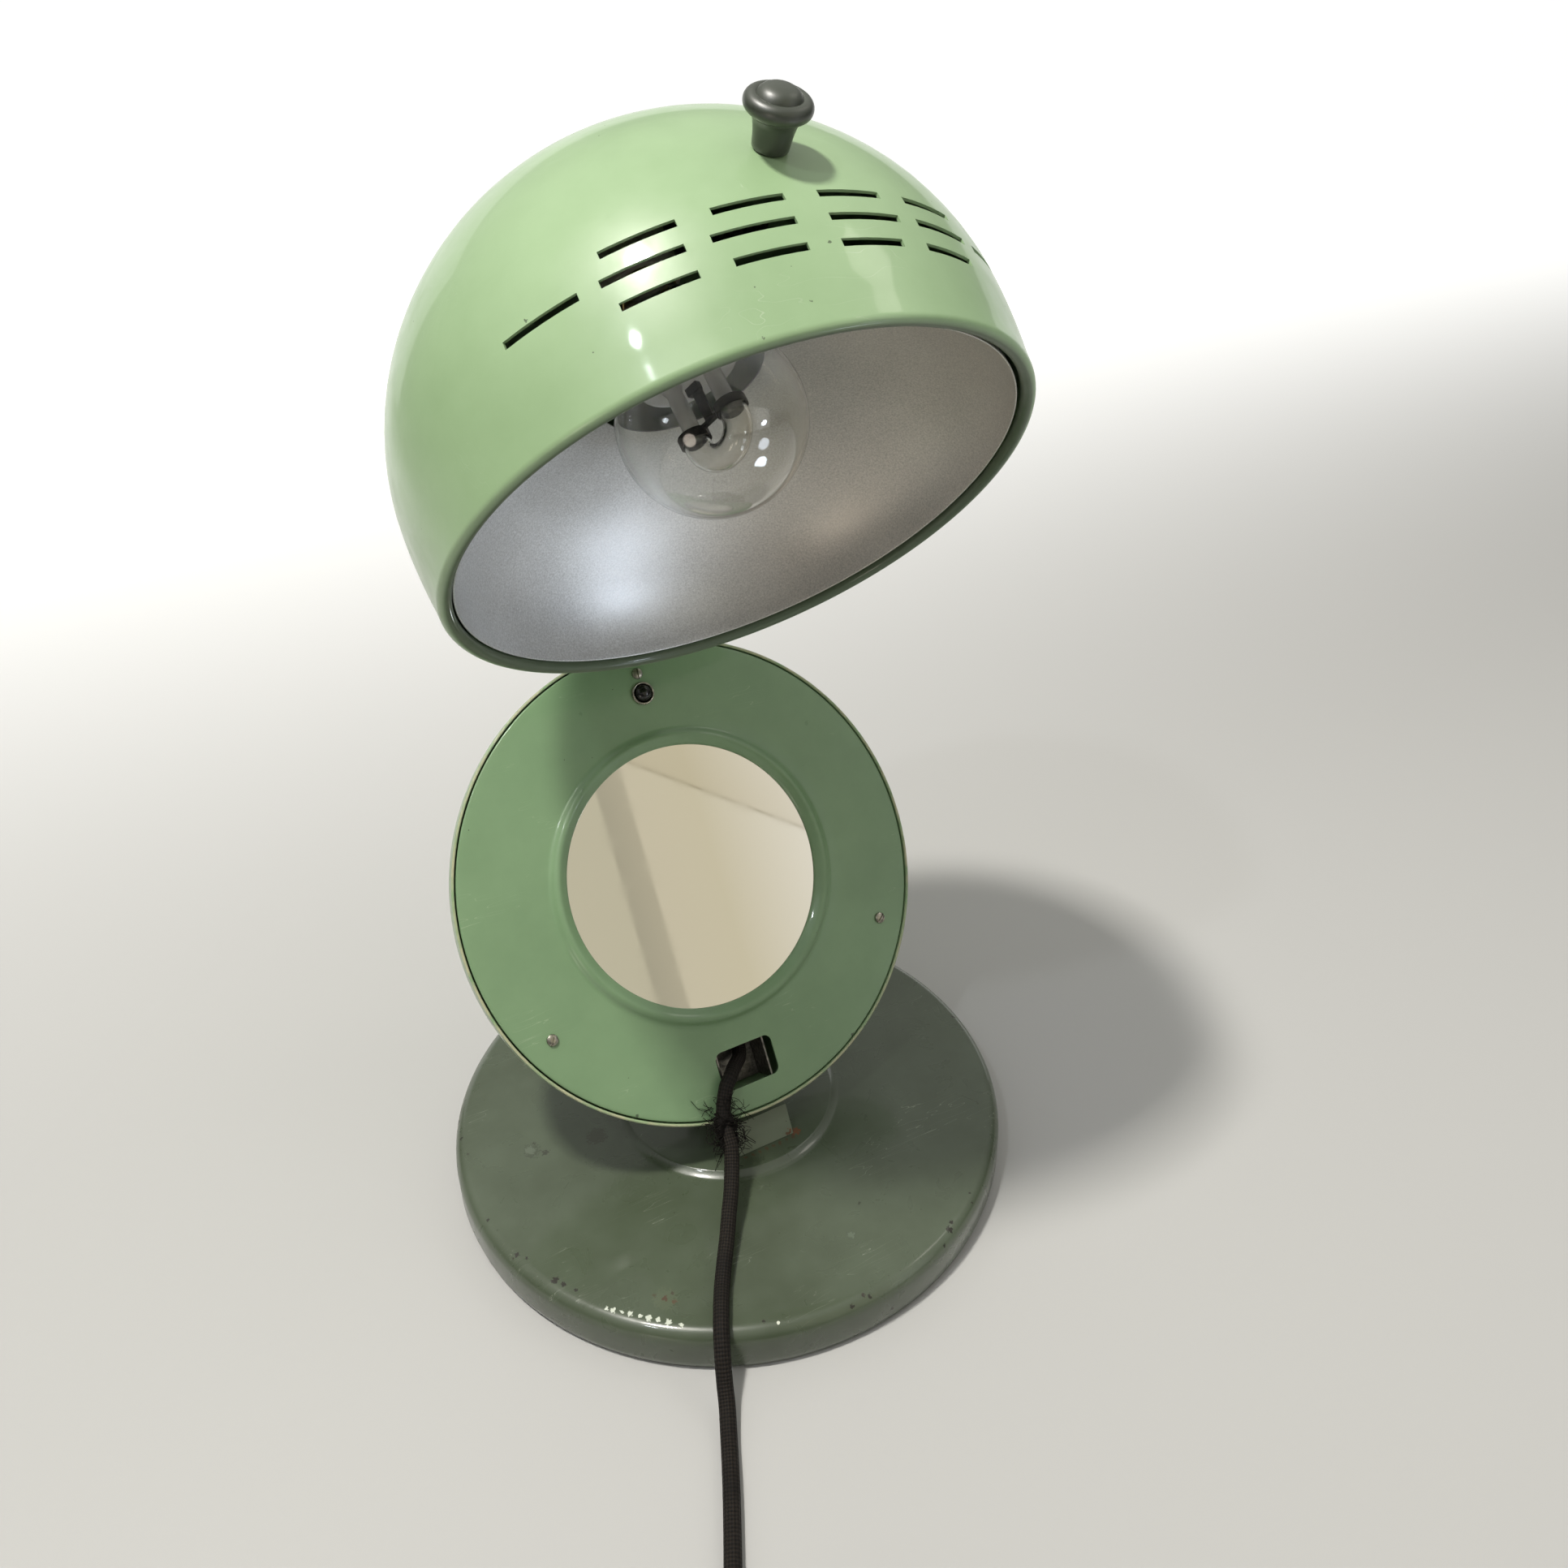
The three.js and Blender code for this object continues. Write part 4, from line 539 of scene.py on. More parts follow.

# %% [markdown]
# ## The cord: its tube
# The whole cord is one tube, so that no joint shows where it leaves the housing.

# %% Cord tube
cord = finish_piece(tube_along(cord_line, VISIBLE, 20), "mains_cord", WORLD, braid, None,
                    stands_for=("cord_lead", "cord_free", "cord_coil"), sharp=70)
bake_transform(cord)

# %% [markdown]
# ## The frayed place
# Where the cord bends hard over the rim its braid has worn through. Somebody has wound black
# thread round it, and broken ends of cotton stand out from there in all directions. The winding is
# five threads that wander up and down as they go round, and each broken end is a thin curled hair.
# When the hood is shut its lip comes down here, so nothing stands higher than that lip.

# %% Thread binding and frayed ends
thread = mottled("black_linen_thread", (700, 2), "060505", "1f1b17", Roughness=0.8, Specular_IOR_Level=0.2,
                 Sheen_Weight=0.05, Sheen_Roughness=0.5, Sheen_Tint=paint("6a6259"))

binding_frame = (HOUSING @ Matrix.Translation(rim_crossing.lerp(binding_end, -0.05))
                 @ (binding_end - rim_crossing).to_track_quat("Z", "Y").to_matrix().to_4x4())

bound = bmesh.new()
for number in range(5):
    steps, line = 150, []
    for i in range(steps + 1):
        angle = math.tau * (9 + number) * i / steps + number
        stray = noise.noise(Vector((i * 0.09, number * 3.7, 0)))
        height = 2.5 + 7.5 * math.sin(math.pi * (1.5 * i / steps + 0.31 * number)) + 2.2 * stray
        swell = 4.1 + 1.5 * math.exp(-((height - 2) / 5) ** 2) + 0.7 * stray
        line.append(Vector((swell * math.cos(angle), swell * math.sin(angle), height)))
    join_onto(bound, tube_along(line, 0.42 - 0.04 * number, 6))
for number in range(150):
    seed = Vector((number * 1.37, 4.1, 0.7))
    swirl = math.tau * (noise.noise(seed) + number * 0.618)
    height = -11 + 25 * ((number * 0.382) % 1)
    reach = 2 + 13 * abs(noise.noise(seed * 2.3)) * (1.4 if math.cos(swirl) > 0.2 else 1)
    side = Vector((math.cos(swirl), math.sin(swirl), 0))
    turn = side.cross(Vector((0, 0, 1)))
    root = side * 3.9 + Vector((0, 0, height))
    curl = []
    for share in (0, 0.35, 0.7, 1):
        bow = (reach + 3) * 1.7 * noise.noise(seed * 3.1 + Vector((share * 1.3, 0, 0)))
        lift = (reach + 3) * 1.6 * noise.noise(seed + Vector((9, share * 1.1, 0))) * share
        curl.append(root + side * reach * share + turn * bow + Vector((0, 0, lift)))
    join_onto(bound, tube_along(smooth_line(curl, 3), 0.13 + 0.1 * abs(noise.noise(seed * 5)), 4))

# the shut hood's lip presses the threads flat
SHUT, UNDER_LIP = 1.97, -0.8  # the hood's smallest opening in degrees, and a height in its frame
from_lip = binding_frame.inverted() @ hood_frame(SHUT)
to_lip, pressed = from_lip.inverted(), 0
for vertex in bound.verts:
    spot = to_lip @ vertex.co
    if spot.z > UNDER_LIP:
        vertex.co, pressed = from_lip @ Vector((spot.x, spot.y, UNDER_LIP)), pressed + 1
print("thread points that the closed lip presses down:", pressed, "of", len(bound.verts))
finish_piece(bound, "thread_binding", binding_frame, thread, "housing", "cord_binding", sharp=70)

# %% [markdown]
# ## The tie and the plug
# The coil is held by one turn of webbing, which is the CAD band with its edges rounded. The plug is
# a round two-pin plug of black phenolic: a flare of rings from the gland to a flat face, turned
# about its own length, with a thumb groove round it and two brass pins.

# %% Tie, plug and pins
webbing, tree, shader = new_finish("woven_cotton_webbing", Roughness=0.85)
rows = add_node(tree, "TexWave", {"Scale": 420, "Distortion": 1.5, "bands_direction": "DIAGONAL"},
                {0: add_node(tree, "TexCoord").outputs["Object"]})
colour = add_node(tree, "ValToRGB", {"stops": ((0, "2a2620"), (1, "575044"))}, {0: rows})
relief = add_node(tree, "Bump", {"Strength": 0.5, "Distance": 0.0004}, {"Height": rows})
wire(tree, shader, {"Base Color": colour, "Normal": relief})
tie = finish_piece(copy_node("cord_tie"), "coil_tie", WORLD, webbing, "base", "cord_tie", bevel=0.25)

phenolic = mottled("black_phenolic", (240, 6), "0b0a09", "24201c", rough=(0, 1, 0.16, 0.5), Roughness=0.32)
brass = mottled("drawn_brass", (300, 5), "7a6238", "c9ae74", rough=(0, 1, 0.22, 0.5), Metallic=1.0)

PLUG = Matrix.Translation(tail_point(45)) @ Matrix.Rotation(tail_angle, 4, "Z") @ ACROSS
plug_outline = [(0, -0.6), (5.6, -0.6), *arc((5.9, 0.2), 0.6, -90, 0, 3), (6.9, 6.4), (8.4, 8), (12.4, 10.6),
                (15.6, 13.6), (17.4, 16.4), (18.3, 18.4), *arc((18.2, 19.6), 0.8, -60, 0, 2), (19, 24.5),
                (18.2, 25.3), (18.2, 29.3), (19, 30.1), (19, 36), (18.4, 37.2), (17.4, 38.2), (17.4, 41.4),
                (16.8, 42), (0, 42)]
plug = finish_piece(spin_outline(plug_outline, 72), "two_pin_plug", PLUG, phenolic, "base", "plug_body",
                    bevel=0.25, sharp=30)
pin_outline = [(0, 41.9), (2.4, 41.9), (2.4, 58.2), *arc((1.6, 60.2), 0.8, 0, 90, 3), (0, 61)]
for number in (1, 2):
    middle = PLUG.inverted() @ middle_of(f"plug_pin_{number}")
    finish_piece(spin_outline(pin_outline, 32), f"turned_pin_{number}",
                                  PLUG @ Matrix.Translation((middle.x, middle.y, 0)), brass, "base",
                                  f"plug_pin_{number}")

# %% [markdown]
# ## A plain pale studio: the floor and the wall
# The photograph has an even white ground. A white floor that is only lit would turn grey behind the
# lamp, so here the floor itself glows a little more the farther back it lies, and a glowing wall
# stands behind it. Close to the lamp the glow is nearly nothing, so that the shadows there are real.

# %% Floor and back wall


def stage_sheet(name, width, depth, place, material):
    """A flat sheet that belongs to the studio and not to the lamp."""
    shape = bmesh.new()
    bmesh.ops.create_grid(shape, x_segments=2, y_segments=2, size=0.5)
    bmesh.ops.transform(shape, matrix=place @ Matrix.Diagonal((width, depth, 1, 1)), verts=shape.verts)
    sheet = add_object(name, mesh_from(shape, name, material))
    return sheet


pale, tree, shader = new_finish("matt_white_floor", Roughness=0.9, Base_Color=paint("b6b6b4"),
                                Emission_Color=paint("f4f4f2"))
behind = add_node(tree, "SeparateXYZ", links={0: add_node(tree, "TexCoord").outputs["Object"]})
glow = add_node(tree, "MapRange", {"From Min": 0.1, "From Max": 1.7, "To Max": 0.85,
                                   "interpolation_type": "SMOOTHSTEP"}, {0: behind.outputs["Y"]})
aside = add_node(tree, "MapRange", {"From Min": -1.3, "From Max": -0.5}, {0: behind.outputs["X"]})
glow = add_node(tree, "Math", {"operation": "MULTIPLY"}, {0: glow, 1: aside})
wire(tree, shader, {"Emission Strength": glow})
floor = stage_sheet("floor", 12, 12, Matrix.Identity(4), pale)
bright = new_finish("lit_back_wall", Roughness=1.0, Base_Color=paint("000000"), Emission_Color=paint("f6f6f4"),
                    Emission_Strength=1.1)[0]
standing = Matrix.Translation((5.4, 4, 0.9)) @ Matrix.Rotation(math.pi / 2, 4, "X")
wall = stage_sheet("back_wall", 14, 2, standing, bright)
print("stage so far:", floor.name, "and", wall.name)

# %% [markdown]
# ## The ceiling that the mirror sees
# A mirror looks like what stands before it. In the photograph that is a warm pale ceiling with a few
# faint straight edges. The glance from the camera is turned back at the mirror's face, and a card
# with such bands hangs 2.2 m along it. Two ramps across the card draw the bands, and they are
# multiplied. The card casts no shadow, so it takes no light from the lamp.

# %% Where the mirror looks
mirror_middle = (HOUSING @ Vector((0, 0, -1.6))) * 0.001
glance = (mirror_middle - eye).normalized()
mirror_faces = HOUSING.to_3x3() @ Vector((0, 0, 1))
seen = glance - mirror_faces * 2 * glance.dot(mirror_faces)
facing = (-seen).to_track_quat("Z", "X").to_matrix().to_4x4()
print("the mirror looks towards", [round(c, 3) for c in seen])

# %% Ceiling card
ceiling, tree, shader = new_finish("warm_ceiling", Roughness=1.0, Base_Color=paint("000000"), Emission_Strength=1.0)
CARD_AWAY, CARD_SIZE = 2.2, 1.9
card_middle = mirror_middle + seen * CARD_AWAY
on_card = place_on(tree, Matrix.Translation(card_middle * 1000) @ facing)
plaster_bands = ((0.0, "c8c4b2"), (0.336, "c6c2af"), (0.344, "aeaa99"), (0.403, "b7b2a0"), (0.409, "d0cab7"),
                 (0.55, "d1cbb6"), (1.0, "ffffff"))
fine_line = ((0.0, "ffffff"), (0.675, "ffffff"), (0.679, "c6c3bb"), (0.684, "f6f4f0"), (1.0, "ffffff"))
ramps = []
for direction, stops in (((-0.201, 0.98, 0), plaster_bands), ((0.653, 0.757, 0), fine_line)):
    across = add_node(tree, "VectorMath", {"operation": "DOT_PRODUCT", 1: direction}, {0: on_card})
    share = add_node(tree, "MapRange", {"From Min": -500, "From Max": 500}, {0: across.outputs["Value"]})
    ramps.append(add_node(tree, "ValToRGB", {"stops": stops}, {0: share}))
shade = add_node(tree, "Mix", {"data_type": "RGBA", "blend_type": "MULTIPLY", 0: 1.0}, {6: ramps[0], 7: ramps[1]})
wire(tree, shader, {"Emission Color": shade.outputs[2]})
card = stage_sheet("ceiling_card", CARD_SIZE, CARD_SIZE, Matrix.Translation(card_middle) @ facing, ceiling)
card.visible_shadow = False
print("ceiling card at", [round(c, 2) for c in card_middle], "m")

# %% [markdown]
# ## Lights
# A strong lamp in the ceiling at the left gives the main shadow and the hot spot on the hood. A weak
# one high at the right gives the knob its second shadow and the hood's right side a sheen, and a
# small one at the left puts sharp lights on glass and nickel. The bowl inside the hood shows what no
# ceiling lamp can reach: a tall cool streak at the left and a warm glow at the right, thrown up from
# bright things in the room. Four small lamps make these. Each lights only what lies inside its
# narrow cone, so the housing below stays as dark as it should.

# %% Lamps


def add_lamp(name, kind, spot, aim, power, tint, **settings):
    """A lamp at a spot that looks at its aim. Settings are what its kind has besides."""
    lamp = bpy.data.lights.new(name, kind)
    lamp.energy, lamp.color = power, paint(tint)[:3]
    for key, value in settings.items():
        setattr(lamp, key, value)
    turned = (Vector(spot) - Vector(aim)).to_track_quat("Z", "Y").to_matrix().to_4x4()
    add_object(name, lamp).matrix_world = Matrix.Translation(spot) @ turned


for name, spot, width, power, tint in (
        ("ceiling_lamp_left", (-0.74, -0.14, 2.4), 0.2, 52, "fffbf4"),
        ("ceiling_lamp_right", (1.35, -0.35, 1.95), 0.4, 2, "fff8ee"),
        ("window_left", (-1.27, -0.62, 2.2), 0.1, 5, "f4f8ff")):
    add_lamp(name, "AREA", spot, (0, 0, 0.25), power, tint, shape="RECTANGLE", size=width, size_y=width)
for name, spot, aim, cone, radius, power, tint in (
        ("bounce_high", (0.62, -0.84, 0.46), (-0.02, 0.04, 0.33), 11, 0.08, 9, "e6f0ff"),
        ("bounce_middle", (0.46, -0.68, 0.17), (-0.02, 0, 0.38), 18, 0.1, 2.6, "e6f0ff"),
        ("bounce_low", (0.32, -0.46, 0.03), (-0.02, 0, 0.4), 26, 0.08, 3.4, "e6f0ff"),
        ("warm_bounce", (-0.64, -0.56, 0.26), (0.09, 0.01, 0.35), 17, 0.5, 44, "fff1e2")):
    add_lamp(name, "SPOT", spot, aim, power, tint, spot_size=math.radians(cone), spot_blend=0.5,
             shadow_soft_size=radius)

# %% [markdown]
# ## The room
# The rest of the room is dim near the floor and lighter towards the ceiling. This is why the paint's
# upper sides look milky and its undersides deep.

# %% Room light
DIM, OVERHEAD = 0.06, 0.6  # strength of the room's light near the floor and overhead
room = bpy.data.worlds.new("studio")
room.use_nodes = True
tree, backdrop = room.node_tree, room.node_tree.nodes["Background"]
upward = add_node(tree, "SeparateXYZ", links={0: add_node(tree, "TexCoord").outputs["Generated"]})
ceiling_glow = add_node(tree, "MapRange", {"From Min": 0.1, "From Max": 0.8, "To Min": DIM, "To Max": OVERHEAD,
                                           "interpolation_type": "SMOOTHSTEP"}, {0: upward.outputs["Z"]})
wire(tree, backdrop, {"Strength": ceiling_glow})
backdrop.inputs["Color"].default_value = paint("fdfcf8")
bpy.context.scene.world = room
bpy.context.scene.view_settings.view_transform = "Standard"
print("room light goes from", DIM, "near the floor to", OVERHEAD, "overhead")

# %% [markdown]
# ## Stove enamel
# The housing, the hood and the base are pressed steel with a baked enamel: a smooth pale green, and
# a darker grey green on the base and the knob. Such paint is never one flat colour. It is a little
# cloudy, has pin specks of dirt baked in, hair scratches where it has been handled, and chips down
# to the dark primer along edges. Its gloss has two parts, a sharp one from the hard clear surface
# and a broad bloom from the pigment under it, so the shader has a coat over a rougher base.

# %% A baked enamel
SPECK_CELLS = 0.14  # cells per millimetre


def enamel(name, place, dark, light, worn_rim=None, rubbed=None, marks=(), bloom=0.36,
           coat=(0.4, 0.07), painted_shade_below=None):
    """Baked enamel in a piece's own frame. Chips grow between worn_rim's two radii. Above the height in
    rubbed the paint is rubbed through to the colour that comes with it. The last argument is the radius
    and the height under which the inside and underside of a rolled edge are painted dark, as painted shade."""
    material, tree, shader = new_finish(name, Roughness=bloom, Coat_Weight=coat[0], Coat_Roughness=coat[1],
                                        Specular_IOR_Level=0.42)
    spot = place_on(tree, place)
    cloud = add_node(tree, "TexNoise", {"Scale": 0.018, "Detail": 5, "Roughness": 0.6}, {"Vector": spot})
    colour = add_node(tree, "ValToRGB", {"stops": ((0.3, dark), (0.7, light))}, {0: cloud})
    # pin specks: one in five of the 7 mm cells holds a speck about 0.5 mm wide
    cells = add_node(tree, "TexVoronoi", {"Scale": SPECK_CELLS}, {"Vector": spot})
    speck = add_node(tree, "MapRange", {"From Min": 0.05, "From Max": 0.025}, {0: cells.outputs["Distance"]})
    pick = add_node(tree, "Math", {"operation": "GREATER_THAN", 1: 0.8},
                    {0: add_node(tree, "SeparateXYZ", links={0: cells.outputs["Color"]})})
    speck = add_node(tree, "Math", {"operation": "MULTIPLY"}, {0: speck, 1: pick})
    # hair scratches: contour lines of a noise that is drawn out 12 times along one slant
    drawn = add_node(tree, "Mapping", {"Scale": (0.05, 0.6, 0.3), "Rotation": (0.2, 0.1, 0.7)}, {"Vector": spot})
    ridge = add_node(tree, "TexNoise", {"Scale": 0.5, "Detail": 1}, {"Vector": drawn})
    line = add_node(tree, "Math", {"operation": "COMPARE", 1: 0.5, 2: 0.0035}, {0: ridge})
    handled = add_node(tree, "TexNoise", {"Scale": 0.03, "noise_dimensions": "4D", "Detail": 2, "W": 3},
                       {"Vector": spot})
    handled = add_node(tree, "MapRange", {"From Min": 0.55, "From Max": 0.68}, {0: handled})
    line = add_node(tree, "Math", {"operation": "MULTIPLY"}, {0: line, 1: handled})
    layers = [(speck, "2c2a20", 0.85), (line, "d6dcc8", 0.22)]
    flat = add_node(tree, "VectorMath", {"operation": "MULTIPLY", 1: (1, 1, 0)}, {0: spot})
    reach = add_node(tree, "VectorMath", {"operation": "LENGTH"}, {0: flat})
    if worn_rim:
        wobble = add_node(tree, "TexNoise", {"Scale": 0.8, "Detail": 3}, {"Vector": spot})
        moved = add_node(tree, "VectorMath", {"operation": "MULTIPLY_ADD", 1: (3.5, 3.5, 3.5)},
                         {0: wobble.outputs["Color"], 2: spot})
        flakes = add_node(tree, "TexVoronoi", {"Scale": 0.13}, {"Vector": moved})
        drawn_lot = add_node(tree, "SeparateXYZ", links={0: flakes.outputs["Color"]})
        size = add_node(tree, "MapRange", {"From Min": 0.72, "From Max": 1.0, "To Max": 0.17}, {0: drawn_lot})
        inner = add_node(tree, "MapRange", {"From Min": worn_rim[0], "From Max": worn_rim[1]},
                         {0: reach.outputs["Value"]})
        size = add_node(tree, "Math", {"operation": "MULTIPLY"}, {0: size, 1: inner})
        chips = add_node(tree, "Math", {"operation": "LESS_THAN"}, {0: flakes.outputs["Distance"], 1: size})
        layers.append((chips, "2b241b", 0.92))
    height = add_node(tree, "SeparateXYZ", links={0: spot})
    # painted shade: the inside and underside of a rolled lip are darkened as if in shadow
    if painted_shade_below:
        lip_shade = add_node(tree, "MapRange", {"From Min": painted_shade_below[0], "From Max": painted_shade_below[0] - 2.5},
                          {0: reach.outputs["Value"]})
        under = add_node(tree, "Math", {"operation": "LESS_THAN", 1: painted_shade_below[1]}, {0: height.outputs["Z"]})
        lip_shade = add_node(tree, "Math", {"operation": "MULTIPLY"}, {0: lip_shade, 1: under})
        layers.append((lip_shade, "2a3223", 0.85))
    if rubbed:
        crest = add_node(tree, "MapRange", {"From Min": rubbed[0], "From Max": rubbed[0] + 0.5},
                         {0: height.outputs["Z"]})
        patchy = add_node(tree, "TexNoise", {"Scale": 0.09, "Detail": 5}, {"Vector": spot})
        patchy = add_node(tree, "MapRange", {"From Min": 0.36, "From Max": 0.56}, {0: patchy})
        crest = add_node(tree, "Math", {"operation": "MULTIPLY"}, {0: crest, 1: patchy})
        layers.append((crest, rubbed[1], 0.75))
    if marks:
        ragged = add_node(tree, "TexNoise", {"Scale": 0.9, "Detail": 4}, {"Vector": spot})
        ragged = add_node(tree, "MapRange", {"From Min": 0.3, "From Max": 0.7, "To Min": -1, "To Max": 1},
                          {0: ragged})
    for (x, y, z), size, tint, strength in marks:
        away = add_node(tree, "VectorMath", {"operation": "DISTANCE", 1: (x, y, z)}, {0: spot})
        edge = add_node(tree, "Math", {"operation": "MULTIPLY_ADD", 1: 0.25 + size * 0.4},
                        {0: ragged, 2: away.outputs["Value"]})
        blot = add_node(tree, "MapRange", {"From Min": size, "From Max": size * 0.8}, {0: edge})
        layers.append((blot, tint, strength))
    tint, damage = colour, None
    for mask, hex_value, strength in layers:
        amount = add_node(tree, "Math", {"operation": "MULTIPLY", 1: strength}, {0: mask})
        tint = add_node(tree, "Mix", {"data_type": "RGBA", 7: paint(hex_value)},
                        {0: amount, 6: tint}).outputs[2]
        damage = amount if damage is None else add_node(
            tree, "Math", {"operation": "MAXIMUM"}, {0: damage, 1: amount})
    wire(tree, shader, {"Base Color": tint})
    smear = add_node(tree, "TexNoise", {"Scale": 0.05, "Detail": 5, "Distortion": 1.2}, {"Vector": spot})
    gloss = add_node(tree, "MapRange", {"From Min": 0.3, "From Max": 0.75, "To Min": bloom - 0.06,
                                        "To Max": bloom + 0.1}, {0: smear})
    gloss = add_node(tree, "Math", {"operation": "MULTIPLY_ADD", 1: 0.3}, {0: damage, 2: gloss})
    wire(tree, shader, {"Roughness": gloss})
    # orange peel of the sprayed coat, about 2.5 mm from crest to crest, with the chips sunk in it
    peel = add_node(tree, "TexNoise", {"Scale": 0.4, "Detail": 2}, {"Vector": spot})
    height = add_node(tree, "Math", {"operation": "MULTIPLY_ADD", 1: -1.6}, {0: damage, 2: peel})
    relief = add_node(tree, "Bump", {"Strength": 0.25, "Distance": 0.00008}, {"Height": height})
    wire(tree, shader, {"Normal": relief})
    print(name, "has", len(tree.nodes), "nodes")
    return material


print("one in five of the", round(1 / SPECK_CELLS), "mm cells holds a speck")

# %% [markdown]
# ## The enamelled pieces
# Each has its own tone, worn rim and marks. The housing, its panel and the hood are one pale green
# paint: the panel is given the darkest tones and the hood the lightest, which is painted shade and
# painted light, and the bracket is given lighter tones than the base, painted light on its face. A mark
# is a spot, its size in millimetres, its colour and how much it covers. Those on the base are chips
# along its edge, a broken line of pale dashes along the front edge that is a painted highlight, a few
# dark stains, rust where the bracket stands on the boss, and a row of brown spots along the bracket's
# foot that is partly rust and partly painted shade in the joint.

# %% Enamelled pieces
hood_marks = [((-92.7, -92.6, 44.1), 0.7, "35402c", 0.8), ((1.6, -130.7, 30.9), 0.6, "3a4530", 0.8),
              ((-13, -128, 11), 0.6, "39452f", 0.8), ((-32.6, -122.6, 2.3), 0.9, "2c2a20", 0.8)]
panel_marks = [((-65.7, -105.4, -0.6), 0.9, "34402c", 0.85), ((59.9, -109.2, -0.6), 0.9, "34402c", 0.85),
               ((-36, 98, -0.6), 1.0, "5d7a55", 0.5), ((88, 60, -0.6), 1.2, "5f7a57", 0.4)]
rim_chips = ((-126, -67, 23.5, 1.9), (-123, -71, 23.4, 1.3), (-119, -77, 23.4, 0.9), (-9, -147.4, 21.6, 1.1),
             (0.8, -147.4, 21.9, 1.0), (-49.1, -135, 23.5, 0.8), (54.6, -135.7, 22.7, 1.7), (57.5, -133, 23, 1.1),
             (47.7, -140.7, 20.7, 1), (-137.3, -44.2, 23.4, 1.3), (-134, -48.5, 23.4, 0.8),
             (-143.7, -17.2, 23.3, 0.9), (-140.5, 42.1, 22.4, 1.1), (-138, 56.9, 19.5, 1.2),
             (76.1, -123.2, 23.2, 0.8), (12.2, -149.5, 9, 0.9))
# painted highlight: pale dashes along the base's front-left edge, where its scratched edge catches the light
edge_highlight_dashes = ((0.02, 1), (0.1, 1.3), (0.2, 0.9), (0.3, 1.4), (0.42, 1.1), (0.52, 1.6), (0.63, 1.2), (0.75, 1.5),
               (0.9, 1))
base_marks = [((-110, 14, 23.5), 4.6, "3a4032", 0.7), ((-110.6, 14.6, 23.5), 3, "596353", 0.9),
              ((-104, 9, 23.5), 1.8, "2f3026", 0.8), ((-107, 18, 23.5), 1, "2f3026", 0.7),
              ((-76, 6, 23.5), 6, "3b3a2c", 0.6), ((-84, -102, 23.5), 6, "59624c", 0.4),
              ((-84, -102, 23.5), 1.5, "4b3427", 0.85), ((-81, -105.5, 23.5), 1.2, "53402f", 0.85),
              ((-87.5, -98, 23.5), 1, "47402f", 0.85), ((-80, -101, 23.5), 0.9, "3b2f25", 0.85),
              ((10.4, -115.2, 23.5), 2.6, "495244", 0.7), ((10.4, -115.2, 23.5), 1.9, "5b6655", 0.8),
              ((24, -101, 23.5), 0.8, "24231a", 0.85), ((-60, -60, 23.5), 0.5, "343728", 0.8),
              *(((x, y, z), size, "1f1a14", 0.94) for x, y, z, size in rim_chips),
              ((-43.5, -138.7, 23.1), 0.7, "dfe2d2", 0.8),
              # along the bracket's foot: partly rust, partly painted shade in the joint
              *(((-13.6 + 4.1 * step, -48.8, 26), 0.9 + 0.3 * (step % 2), "56381f", 0.6) for step in range(8)),
              ((18, -46.4, 26), 2.4, "74401d", 0.75),
              # painted highlight along the front-left edge
              *(((-110.7 + 30.7 * share, -92.6 - 28.1 * share, 23.3), size, "dfe5d6", 0.75)
                for share, size in edge_highlight_dashes)]
# the housing, its panel and the hood are one paint: the panel's darker tones are painted shade, the hood's lighter
# ones painted light
green_panel = enamel("pale_green_enamel_panel", HOUSING, "6f8c67", "799670", worn_rim=(122, 125.2), marks=panel_marks)
green_shell = enamel("pale_green_enamel_housing", HOUSING, "7c986f", "86a278", worn_rim=(125, 127.6),
                     rubbed=(-0.9, "b4ae90"))
# the hood's rolled lip gets painted shade on its inside and underside
green_hood = enamel("pale_green_enamel_hood", HOOD, "8aa57c", "95b087", marks=hood_marks,
                    painted_shade_below=(127.3, 7))
grey_base = enamel("grey_green_enamel_base", WORLD, "424b39", "525c4b", worn_rim=(139, 146), bloom=0.3,
                   marks=base_marks)
# the bracket has the base's paint: its lighter tones are painted light on its front face
grey_bracket = enamel("grey_green_enamel_bracket", WORLD, "66705c", "737d69", bloom=0.45,
                      marks=[((14, -48, 29), 2.4, "7a4524", 0.8), ((13, -46, 27), 1.6, "5c3a22", 0.8)])
grey_knob = enamel("grey_green_lacquer_knob", HOOD, "262c21", "30372a", bloom=0.45, coat=(1, 0.4))

# %% [markdown]
# ## Plated, cast and bare metals
# The small screws and the hinge pin are nickel plated and have gone a little dull and yellow. The
# weight in the base and the ballast's core are grey cast iron with a sandy skin, and other hidden
# steel parts are bare rolled steel. Only their roughness, colour and grain differ, so they are
# made in one loop from a row of values each: name, dark and light colour, roughness from and to,
# grain per metre and how deep the grain is.

# %% Metals
metals = {}
for name, dark, light, low, high, grain, depth in (
        ("dull_nickel_plate", "77746a", "bcb7a8", 0.2, 0.42, 400, 0.05),
        ("rolled_steel", "55534e", "8d8a83", 0.3, 0.5, 500, 0.08),
        ("grey_cast_iron", "34332f", "4f4d48", 0.55, 0.8, 350, 0.5),
        ("copper_winding", "7a3f22", "b87246", 0.25, 0.45, 600, 0.2),
        ("blackened_iron", "1f1d1a", "3a3631", 0.4, 0.6, 300, 0.2)):
    metals[name] = mottled(name, (grain, 6), dark, light, ends=(0.3, 0.65), rough=(0.3, 0.7, high, low),
                           relief=(depth, 0.0004), Metallic=1.0)
nickel, steel, iron = metals["dull_nickel_plate"], metals["rolled_steel"], metals["grey_cast_iron"]
copper, dark_iron = metals["copper_winding"], metals["blackened_iron"]
